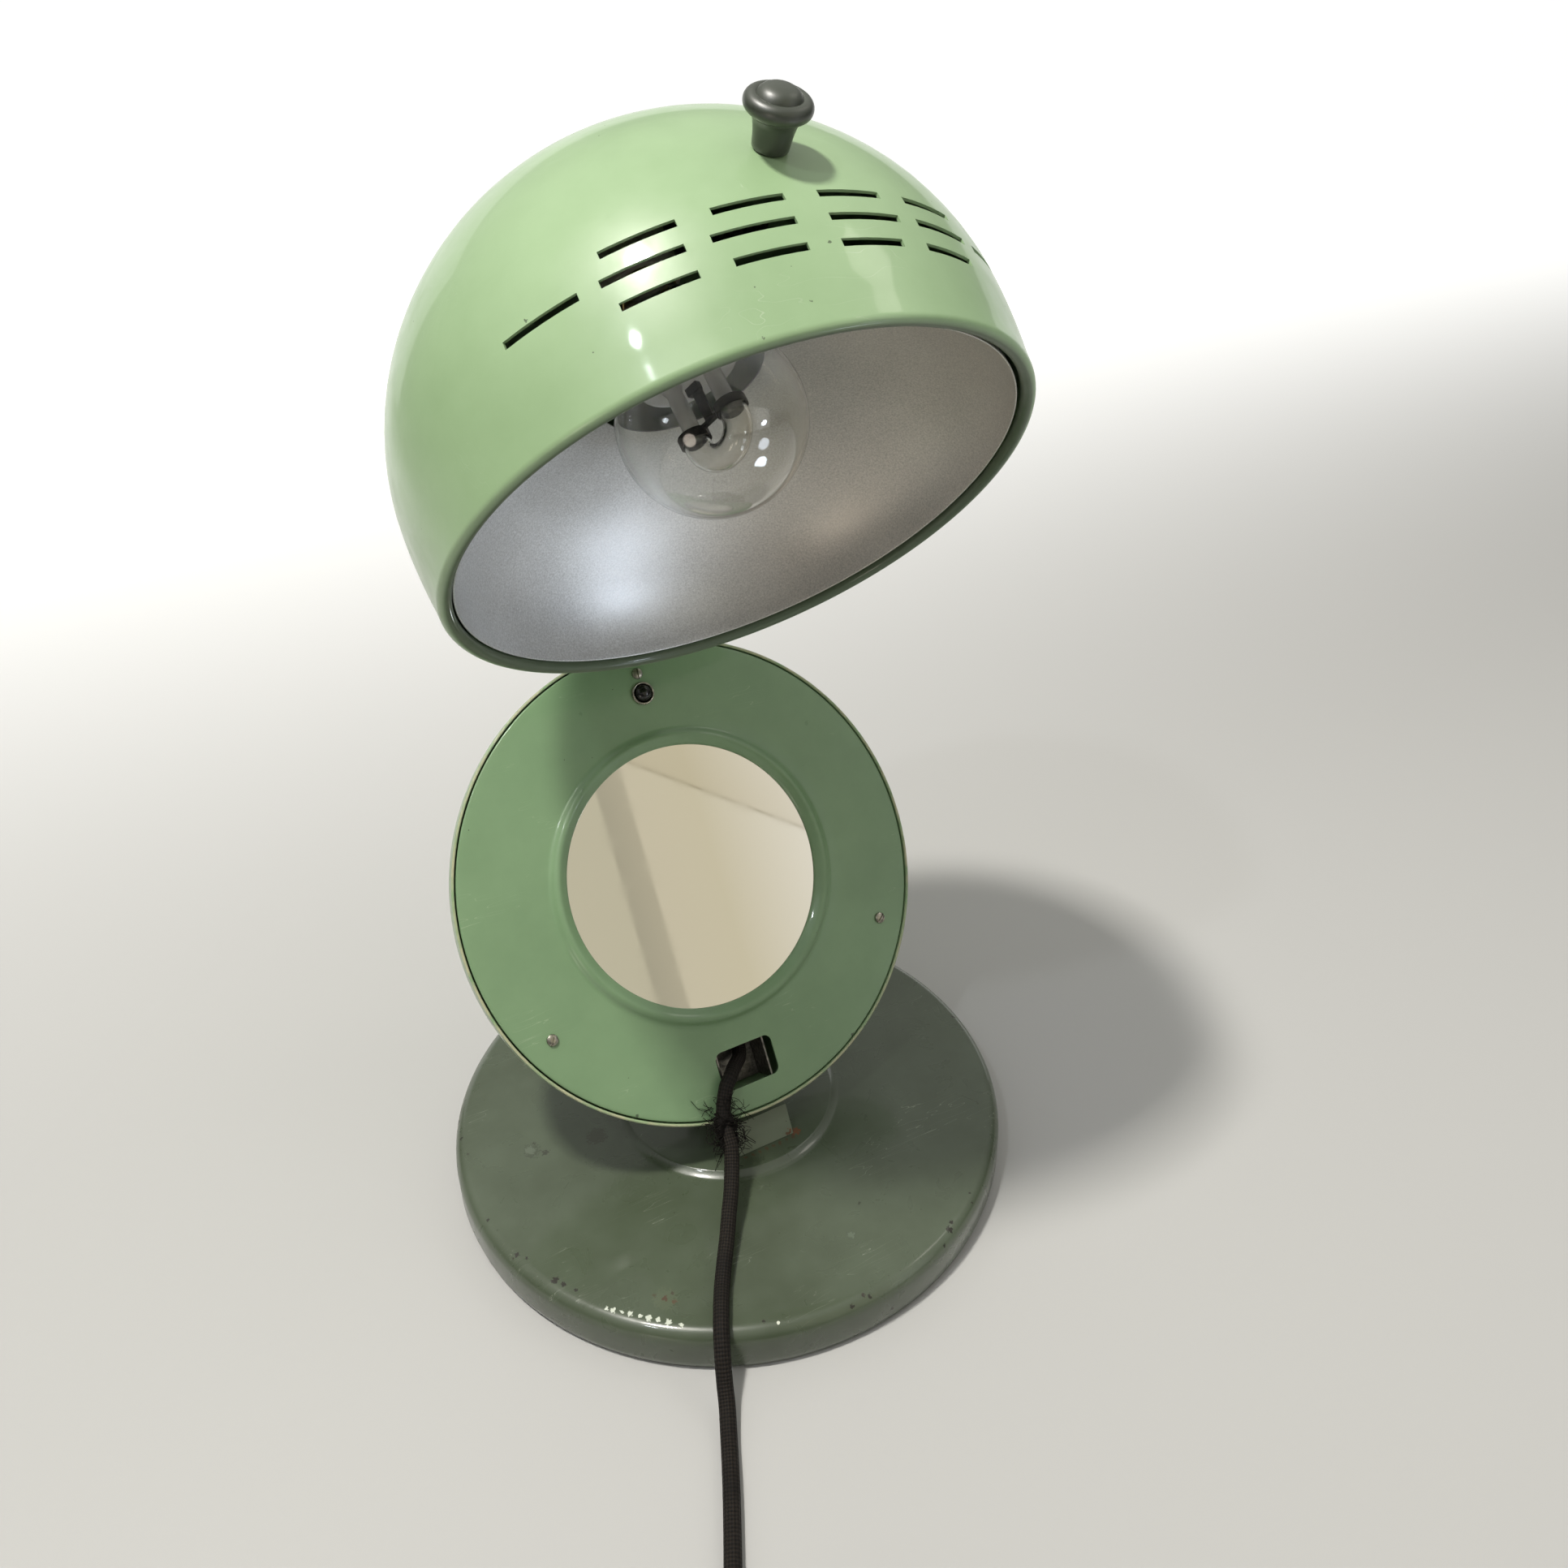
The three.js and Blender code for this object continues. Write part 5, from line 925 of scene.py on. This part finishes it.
print("metals:", sorted(metals))

# %% [markdown]
# ## The base
# The base is one pressed dish: a flat top that steps up a little to a raised round boss under the
# bracket, a soft rounded edge, a nearly upright wall and a foot rolled inwards that holds the cover.
# It is spun from its outline, outside and inside, so that the steel has its real thickness.

# %% Base dish
base_outline = [(0, 26), (50, 26), (57, 26), *arc((57.2, 24.7), 1.3, 90, 42, 4), (60.9, 23.9), (62, 23.55),
                (63.4, 23.5), (66, 23.5), (100, 23.5), (140, 23.5), *arc((143, 16.5), 7, 88, 2, 10), (150, 15),
                (150, 5.6), (149.7, 4.2), *arc((147.2, 3.2), 2.2, -8, -90, 5), (145.2, 1), (145.2, 2.1), (147.4, 2.2),
                (148.3, 4.4), (148.5, 6), (148.5, 16), *arc((143, 16.5), 5.5, 0, 90, 6), (66, 22), (62, 22.1),
                (56.5, 24.5), (0, 24.5)]
finish_piece(spin_outline(base_outline, 160), "base_dish", WORLD, grey_base, "base", "base_shell",
             sharp=50)

# %% [markdown]
# ## The foot bracket and its pin
# A steel channel is screwed to the boss and carries the housing between its two ears. Its folds
# and sawn edges come from the CAD node, with the edges eased by a bevel. The pin is turned, with a
# flat head on one side and a washer and a hexagon nut on the other.

# %% Foot bracket, screws and tilt pin
channel = copy_node("foot_bracket")
LOWERED = 0.8  # the front plate's top, in mm, so that the smooth housing clears it at full tilt
for vertex in channel.verts:
    if vertex.co.z > 38 and vertex.co.y < tilt_pin.y - 16:
        vertex.co.z -= LOWERED
finish_piece(channel, "foot_channel", WORLD, grey_bracket, "base", "foot_bracket",
             bevel=0.5, sharp=25)
for number, (y, angle) in enumerate(((-28, 20), (12, 75)), 1):
    finish_piece(slotted_head(5, 3, angle, slot=1.2, depth=1.2), f"bracket_head_{number}",
                 Matrix.Translation((0, y, 29.1)), steel, "base", f"foot_screw_{number}", sharp=30)


def pin_and_nut(joint, place, body, outline, washer, nut):
    """A joint's turned pin with its washer and nut, each given with how far along the pin it sits."""
    finish_piece(spin_outline(outline, 40), f"turned_{joint}_pin", place, nickel, body, f"{joint}_pin")
    for (shape, distance), look, node in ((washer, "ring", "washer"), (nut, "hexagon", "nut")):
        finish_piece(shape, f"{joint}_{look}", place @ Matrix.Translation((0, 0, distance)), nickel, body,
                     f"{joint}_{node}", sharp=25)


tilt_outline = [(0, -20.3), (5.2, -20.3), (6.4, -19.9), (7, -19.1), (7, -16.6), (6.7, -16.3), (4, -16.3), (4, 23.2),
                (3.4, 23.8), (0, 23.8)]
pin_and_nut("tilt", Matrix.Translation(tilt_pin) @ ACROSS, "base", tilt_outline, (ring(4.1, 8, 1.2), 16.3),
            (hexagon_nut(7.6, 4.1, 5), 17.8))

# %% [markdown]
# ## The housing's back
# The housing is a deep round pressing whose back is flatter than a ball: its outline is a
# superellipse. The rim is rolled in to a bright narrow edge that stands round the front panel.

# %% Housing shell


def back_outline(radius, depth, steps):
    """The back's outline from its middle out to the wall, evenly spaced by angle."""
    angles, power = [math.pi / 2 * i / steps for i in range(steps + 1)], 2 / BACK_POWER
    return [(radius * math.sin(a) ** power, BACK_START - depth * max(math.cos(a), 0) ** power) for a in angles]


shell_outline = [*back_outline(HOUSING_RADIUS, BACK_DEPTH, 26), (HOUSING_RADIUS, -1.2),
                 *arc((126.7, -0.9), 0.75, 0, 150, 5), (125.9, -1.6), *back_outline(125.9, 40.5, 26)[::-1]]
finish_piece(spin_outline(shell_outline, 160), "housing_bowl", HOUSING, green_shell, "housing",
             "housing_shell", sharp=60)

# %% [markdown]
# ## The front panel
# One round pressing closes the housing. Its bezel swells up round the mirror and rolls down over
# the mirror's edge. A hole with rounded corners lets the cord out and a small one holds the switch.
# The face is spun as a single sheet, the holes are cut in it with planes, and Solidify gives it
# the steel's thickness.

# %% Panel sheet


def cut_planes(shape, planes, near):
    """Cuts the faces near a place along planes, each a point and a direction."""
    for spot, out in planes:
        faces = [f for f in shape.faces if near(f)]
        edges = list({e for f in faces for e in f.edges})
        verts = list({v for f in faces for v in f.verts})
        bmesh.ops.bisect_plane(shape, geom=verts + edges + faces, plane_co=spot, plane_no=out, dist=1e-5)


def cut_window(shape, middle, half_x, half_y, corner, steps):
    """Cuts a hole with round corners in a flat face and takes the faces inside it away."""
    sides = []
    for turn, sign in enumerate(((1, 1), (-1, 1), (-1, -1), (1, -1))):
        hub = Vector((middle[0] + sign[0] * (half_x - corner), middle[1] + sign[1] * (half_y - corner), 0))
        for i in range(steps + 1):
            angle = math.pi / 2 * (turn + i / steps)
            out = Vector((math.cos(angle), math.sin(angle), 0))
            sides.append((hub + out * corner, out))

    def near(face):
        spots = [v.co for v in face.verts]
        reach = half_x + half_y + 3
        return (min(s.x for s in spots) < middle[0] + reach and max(s.x for s in spots) > middle[0] - reach
                and min(s.y for s in spots) < middle[1] + reach and max(s.y for s in spots) > middle[1] - reach)

    cut_planes(shape, sides, near)
    inside = [f for f in shape.faces
              if all((f.calc_center_median() - spot).dot(out) < 0 for spot, out in sides)]
    bmesh.ops.delete(shape, geom=inside, context="FACES")


panel_outline = [(125.2, -1.7), *arc((124.4, -1.4), 0.8, 0, 90, 4), (122, -0.6), (116, -0.6), (108, -0.6), (96, -0.6),
                 (86, -0.6), (79.8, -0.6), (78.7, -0.45), (77.8, 0.05), (77.0, 0.9), (76.1, 1.75), (75.1, 2.25),
                 (74.2, 2.35), (73.3, 2.1), (72.3, 1.5), (71.1, 0.7), (70.1, 0), (69.5, -0.5), (69.2, -1.3)]
panel = spin_outline(panel_outline, 180)
if sum(f.normal.z * f.calc_area() for f in panel.faces) < 0:
    bmesh.ops.reverse_faces(panel, faces=panel.faces)
cut_window(panel, (-2, -102), 16.25, 10.25, 4, 4)
cut_window(panel, (0, 100), 5.8, 5.8, 5.8, 4)
finish_piece(panel, "panel_sheet", HOUSING, green_panel, "housing", "front_panel", wall=1.2,
             bevel=0.3, sharp=40)

# %% [markdown]
# ## The mirror
# A round of silvered glass lies behind the bezel. The silver is what shows, so the front is a
# polished metal of silver's pale warm colour, with a ground edge and a breath of haze.

# %% Mirror
silvering, tree, shader = new_finish("silvered_glass", Metallic=1.0, Base_Color=paint("eeeae0"))
haze = add_node(tree, "TexNoise", {"Scale": 0.06, "Detail": 6}, {"Vector": place_on(tree, HOUSING)})
dull = add_node(tree, "MapRange", {"From Min": 0.4, "From Max": 0.8, "To Min": 0.015, "To Max": 0.06},
                {0: haze})
wire(tree, shader, {"Roughness": dull})
mirror_outline = [(0, -1.6), (71.8, -1.6), (72.4, -2.2), (72.4, -4.1), (71.9, -4.6), (0, -4.6)]
finish_piece(spin_outline(mirror_outline, 120), "round_mirror", HOUSING, silvering, "housing", "mirror",
             sharp=25)

# %% [markdown]
# ## Screws and the push button
# Three slotted screws hold the panel. Above the mirror a black button sits in a thin bright
# collar. The button is domed and polished by fingers, so it shows one small sharp reflection.

# %% Panel screws, collar and button
for number, (angle, slot_angle) in enumerate(((90, 88), (-30, 35), (-150, 60)), 1):
    spot = (111 * math.cos(math.radians(angle)), 111 * math.sin(math.radians(angle)), -0.35)
    finish_piece(slotted_head(2.9, 1.6, slot_angle, slot=0.8, depth=0.9), f"panel_head_{number}",
                 HOUSING @ Matrix.Translation(spot), nickel, "housing",
                 f"panel_screw_{number}", sharp=30)
BUTTON = HOUSING @ Matrix.Translation((0, 100, 0))
collar_outline = [(4.9, -11.7), (5.6, -11.7), (5.6, -0.4), (6.1, -0.3), (6.3, 0.3), *arc((5.6, 0.6), 0.62, 0, 180, 6),
                  (4.9, 0.2)]
finish_piece(spin_outline(collar_outline, 48, closed=True), "button_ring", BUTTON, nickel, "housing",
             "button_collar")
button_outline = [(0, 4.2), (1.4, 4.1), (2.7, 3.65), (3.7, 2.85), (4.3, 1.8), (4.5, 0.6), (4.5, -6),
                  (2, -6.1), (2, -14), (0, -14)]
polished = mottled("polished_black_button", (0.5, 4), "070707", "1b1a18", BUTTON, Roughness=0.12)
finish_piece(spin_outline(button_outline, 48), "black_button", BUTTON, polished, "button", "push_button")

# %% [markdown]
# ## The hinge
# At the top of the housing a folded bracket carries the hinge pin between its ears, and a plate on
# the hood has its own ears just inside them. A washer and a nut hold the pin, tight enough for
# the hood to stay where it is put.

# %% Hinge
finish_piece(copy_node("hinge_bracket"), "hinge_channel", WORLD, green_shell, "housing", "hinge_bracket",
             bevel=0.45, sharp=25)
finish_piece(copy_node("hood_hinge_plate"), "hinge_leaf", WORLD, green_hood, "hood", "hood_hinge_plate",
             bevel=0.45, sharp=25)
hinge_outline = [(0, -25.3), (5, -25.3), (6.1, -24.9), (6.5, -24.2), (6.5, -22.5), (6.3, -22.3), (4, -22.3),
                 (4, 28.3), (3.5, 28.8), (0, 28.8)]
pin_and_nut("hinge", HOUSING @ Matrix.Translation(hinge_pin) @ ACROSS, "housing", hinge_outline,
            (ring(4.1, 7.4, 1, 0.2), 22.3), (hexagon_nut(7.2, 4.1, 4), 23.6))
rivet_outline = [(3.3, 0), (3.25, 0.5), (2.9, 1.2), (2.3, 1.7), (1.3, 2.05), (0, 2.1)]
for number in range(1, 5):
    spot = HOOD.inverted() @ middle_of(f"hood_rivet_{number}")
    stand = Matrix.Translation((spot.x, 134.3, spot.z)) @ Matrix.Rotation(-math.pi / 2, 4, "X")
    finish_piece(spin_outline([(0, -6), (1.8, -6), (1.8, 0)] + rivet_outline, 32), f"rivet_dome_{number}",
                 HOOD @ stand, green_hood, "hood", f"hood_rivet_{number}")

# %% [markdown]
# ## The hood
# The hood is spun steel, nearly a half ball but a little fuller and with a short straight skirt that
# ends in a rolled lip. Three rows of narrow slots in its front let the heat out. As a single sheet
# it can be cut cleanly: rows of faces already run along the slots' long edges, planes through the
# hood's axis cut their ends, and the faces between are taken away. Then Solidify gives the wall.

# %% Hood sheet
WIDEST, SHOULDER, DOME, FULLNESS = 131.05, 43.3, 127.5, 1.976
LIP, TAPER = 5.4, 3.15  # height of the lip's top, and how much narrower the skirt is there


def hood_skin(height):
    """The hood's outer radius at a height above its lip."""
    if height < SHOULDER:
        rest = 1 - (height - LIP) / (SHOULDER - LIP)
        return WIDEST - TAPER * rest * rest
    return WIDEST * (1 - ((height - SHOULDER) / DOME) ** FULLNESS) ** (1 / FULLNESS)


crown = [(WIDEST * math.sin(a) ** (2 / FULLNESS), SHOULDER + DOME * math.cos(a) ** (2 / FULLNESS))
         for a in (math.radians(85.2 * i / 26) for i in range(27))]
rows = [53, 49.8, 46.2, 42.7, 39.5, 35.7, 31.9, 28.7, 21, 13, 8]
hood_outline = crown + [(hood_skin(h), h) for h in rows] + arc((124.9, 3), 3, 0, -180, 12) + [(121.9, 4)]
hood = spin_outline(hood_outline, 144)
if sum(f.normal.dot(f.calc_center_median() - Vector((0, 0, 60))) for f in hood.faces) < 0:
    bmesh.ops.reverse_faces(hood, faces=hood.faces)
slots = [(h, side * a, side * b) for h, spans in (
    (51.4, ((2.8, 14.3), (19.6, 31.6))), (41.1, ((2.8, 16), (19.9, 33), (36.5, 49.8))),
    (30.3, ((2.8, 14.3), (19.6, 31.6)))) for a, b in spans for side in (-1, 1)]


def from_front(spot):
    """Angle round the hood's axis from its front, in degrees."""
    return math.degrees(math.atan2(spot.x, -spot.y))


for height, start, end in slots:
    low, high = sorted((start, end))

    def in_row(face):
        middle = face.calc_center_median()
        return abs(middle.z - height) < 1.6 and low - 4 < from_front(middle) < high + 4

    ends = [(Vector(), Vector((math.cos(math.radians(a)), math.sin(math.radians(a)), 0))) for a in (low, high)]
    cut_planes(hood, ends, in_row)
    inside = [f for f in hood.faces if abs(f.calc_center_median().z - height) < 1.5
              and low < from_front(f.calc_center_median()) < high]
    bmesh.ops.delete(hood, geom=inside, context="FACES")
finish_piece(hood, "hood_sheet", HOOD, green_hood, "hood", "hood_shell", wall=1.2, bevel=0.3,
             sharp=50)
print("slots:", len(slots))

# %% [markdown]
# ## The knob
# The handle knob is turned and lacquered. Its stem widens slowly to a small step, then come a round
# bead, a groove and a low dome. It stands square on the hood's front.

# %% Knob
KNOB_HEIGHT = 76
front_slope = hood_skin(KNOB_HEIGHT + 0.5) - hood_skin(KNOB_HEIGHT - 0.5)
KNOB = (HOOD @ Matrix.Translation((0, -hood_skin(KNOB_HEIGHT), KNOB_HEIGHT))
        @ Matrix.Rotation(math.pi / 2 - math.atan(-front_slope), 4, "X"))
knob_outline = [(0, 0.2), (6.2, 0.3), (6.6, 0.8), (6.8, 2.5), (7, 5), (7.3, 7), (7.8, 9.3), (8.4, 11.2), (8.9, 11.6),
                (9.05, 12.1), (9, 12.6), *arc((8.8, 15.8), 3.4, -62, 76, 12), (8.7, 19.2), (8.1, 18.8), (7.6, 19.6),
                (6.6, 20.7), (5.4, 21.4), (4, 21.85), (2, 22.15), (0, 22.2)]
finish_piece(spin_outline(knob_outline, 72), "turned_knob", KNOB, grey_knob, "hood", "knob",
             sharp=40)

# %% [markdown]
# ## The reflector
# Inside the hood a shallow bowl throws the light forward. It is painted with aluminium paint, whose
# tiny leaves of metal lie flat in the varnish: it is grey, cool and grainy, with a broad soft
# highlight where a polished bowl would have a sharp one. Its rim is a fine bead that ends just inside
# the hood's lip, so only a thin dark line shows between the two.

# %% Reflector
aluminium, tree, shader = new_finish("aluminium_paint", Metallic=0.6)
spot = place_on(tree, HOOD)
leaves = add_node(tree, "TexNoise", {"Scale": 1.3, "Detail": 3}, {"Vector": spot})
stain = add_node(tree, "TexNoise", {"Scale": 0.012, "Detail": 3}, {"Vector": spot})
tone = add_node(tree, "Math", {"operation": "MULTIPLY_ADD", 1: 1.6}, {0: leaves, 2: stain})
tone = add_node(tree, "Math", {"operation": "MULTIPLY", 1: 0.385}, {0: tone})
colour = add_node(tree, "ValToRGB", {"stops": ((0.3, "a2a3a3"), (0.7, "dcdedf"))}, {0: tone})
dull = add_node(tree, "MapRange", {"From Min": 0.3, "From Max": 0.7, "To Min": 0.38, "To Max": 0.54},
                {0: leaves})
relief = add_node(tree, "Bump", {"Strength": 0.12, "Distance": 0.0002}, {"Height": leaves})
# painted reflection: the bowl's right side is tinted warm, as if it reflected the warm room
side = add_node(tree, "SeparateXYZ", links={0: spot})
warm_reflection_share = add_node(tree, "MapRange", {"From Min": -25, "From Max": 70, "To Max": 0.85,
                                       "interpolation_type": "SMOOTHSTEP"}, {0: side.outputs["X"]})
warm_reflection_tint = add_node(tree, "Mix", {"data_type": "RGBA", "blend_type": "MULTIPLY", 7: paint("efe6d8")},
                {0: warm_reflection_share, 6: colour})
wire(tree, shader, {"Base Color": warm_reflection_tint.outputs[2], "Roughness": dull, "Normal": relief})


def bowl(radius, depth, start, end, steps):
    """The reflector's outline from its hole to its foot, at angles from its axis."""
    angles = [math.radians(start + (end - start) * i / steps) for i in range(steps + 1)]
    return [(radius * math.sin(a), RIM + depth * math.cos(a)) for a in angles]


BOWL, DEPTH, RIM, SHEET, HOLE = 120, 75, 4, 0.8, 38.6  # radius, depth, height, thickness and lamp hole
hole = math.degrees(math.asin(HOLE / BOWL))
bowl_outline = [*bowl(BOWL, DEPTH, hole, 90, 34), *arc((BOWL + SHEET / 2, RIM), SHEET / 2, -180, 0, 6),
                *bowl(BOWL + SHEET, DEPTH + SHEET, 87, hole, 34)]
off_centre = Matrix.Translation((-0.4, 0.1, 0))
finish_piece(spin_outline(bowl_outline, 160, closed=True), "reflector_bowl", HOOD @ off_centre, aluminium, "hood",
             "reflector", sharp=50)

# %% [markdown]
# ## The burner's globe and cap
# The burner is a bent quartz tube in a round bulb of thin clear glass with a neck, on a brass cap.
# Thin glass shows as a bright line at its edge, faint reflections of the windows, and a slightly
# grey film of dust, so it is a real wall of glass, outside and inside, and very smooth.

# %% Globe and cap
clear_glass = mottled("thin_clear_glass", (0.05, 6), "f4f4f0", "fefefc", BULB, Roughness=0.02, IOR=1.47,
                      Transmission_Weight=1.0)
GLOBE, NECK, GLOBE_MIDDLE = 41.2, 24, 51.3  # radius of the ball and the neck, and the ball's height


def globe(wall):
    """The bulb's outline from its round end up to the neck."""
    low = math.degrees(math.asin(NECK / GLOBE))
    ball = [((GLOBE - wall) * math.sin(a), GLOBE_MIDDLE - (GLOBE - wall) * math.cos(a))
            for a in (math.radians((180 - low) * i / 40) for i in range(41))]
    return ball + [(radius - wall, height) for radius, height in (
        (NECK, 88), (NECK, 97.5), (23.4, 100), (21.8, 104.2), (17, 111), (13.6, 114.4), (11.9, 117.6), (11.8, 121.7))]


glass_outline = globe(0) + globe(1.2)[::-1]
finish_piece(spin_outline(glass_outline, 120), "glass_globe", BULB, clear_glass, "hood", "bulb_globe",
             sharp=60)

# %% [markdown]
# ## The burner
# Inside the globe the quartz tube is bent like a U and stands with its ends in two dark metal cups.
# Each cup hangs on a leg of glass from a glass disc, and a flat strap holds the cups together. The
# tube is hollow: Solidify gives it a wall of quartz, whose clearness is what lets the light out.

# %% Quartz tube, cups and glass stem
quartz = mottled("fused_quartz", (0.4, 3), "f0eeea", "fbfaf7", BURNER, relief=(0.15, 0.0003), Roughness=0.015,
                 IOR=1.458, Transmission_Weight=1.0)
bend = [(x, 0, z) for x, z in arc((0, 46.9), 11.7, -180, 0, 24)]
tube_line = [Vector(p) for p in [(-11.7, 0, 51)] + bend + [(11.7, 0, 51)]]
finish_piece(tube_along(tube_line, 6.2, 32), "quartz_tube", BURNER, quartz, "hood", "burner_tube",
             wall=1.2, sharp=60)
finish_piece(copy_node("burner_clip"), "iron_cups", WORLD, dark_iron, "hood", "burner_clip",
             bevel=0.25, sharp=30)
stem = spin_outline([(0, 76), (22.2, 76), *arc((22.2, 76.8), 0.8, -90, 90, 6), (12, 78), (7.4, 79.6), (5.4, 83),
                     (5, 88), (5, 118), (11.6, 125.9), (11.9, 126.5), (11.9, 127.2), (11.5, 127.7), (0, 127.7)], 64)
for side in (-1, 1):
    leg = spin_outline([(0, 53.3), (3.2, 53.3), (4, 54), (4, 70), (3.6, 73), (4.4, 75.6), (5.2, 76.4), (0, 76.4)], 32)
    bmesh.ops.translate(leg, vec=(11 * side, 0, 0), verts=leg.verts)
    join_onto(stem, leg)
# painted highlight: the stem's glass is clear, but it is made partly milky so that its pale colour stands in for the
# bright highlights on its legs
worked = mottled("flame_worked_glass", (0.25, 3), "e6e4de", "f8f7f3", BURNER, Roughness=0.05, IOR=1.5,
                 Transmission_Weight=0.6)
finish_piece(stem, "glass_stem", BURNER, worked, "hood", "burner_stem", sharp=45)
finish_piece(copy_node("bulb_cap"), "brass_cap", WORLD, brass, "hood", "bulb_cap", bevel=0.2, sharp=30)

# %% [markdown]
# ## Everything behind the skin
# The rest of the parts are hidden or seen only through a hole, and their CAD shape is right as it
# is. Each keeps its solid and gets the finish that it would have: fired porcelain for the lamp
# socket, moulded phenolic for the switch, felt under the base. Only the cord's tray is made anew,
# with eased folds, because its edges show in the cord's hole.

# %% Finishes for the CAD nodes that stay
porcelain = mottled("glazed_porcelain", (120, 4), "cfc8b8", "e8e3d6", Roughness=0.2)
felt = mottled("green_wool_felt", (900, 5), "1c241b", "3b4738", relief=(0.6, 0.0005), Roughness=0.95,
               Sheen_Weight=0.4)
finish_piece(copy_node("cord_tray"), "folded_tray", WORLD, steel, "housing", "cord_tray", bevel=0.3,
             sharp=25)

kept = {
    steel: ["base_cover", "cord_clamp", "socket_bridge", "knob_screw", "mirror_retainer"],
    iron: ["base_weight", "ballast_core", "tilt_lug"],
    copper: ["ballast_coil"],
    felt: ["base_felt"],
    porcelain: ["lamp_socket", "terminal_block"],
    phenolic: ["switch_body"],
    nickel: ["socket_screw", "lug_screw_1", "lug_screw_2", "bracket_screw_1", "bracket_screw_2"],
}
for finish, nodes in kept.items():
    for node in nodes:
        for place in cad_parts[node].material_slots:
            place.material = finish
print("CAD nodes that keep their solid:", sum(len(nodes) for nodes in kept.values()))
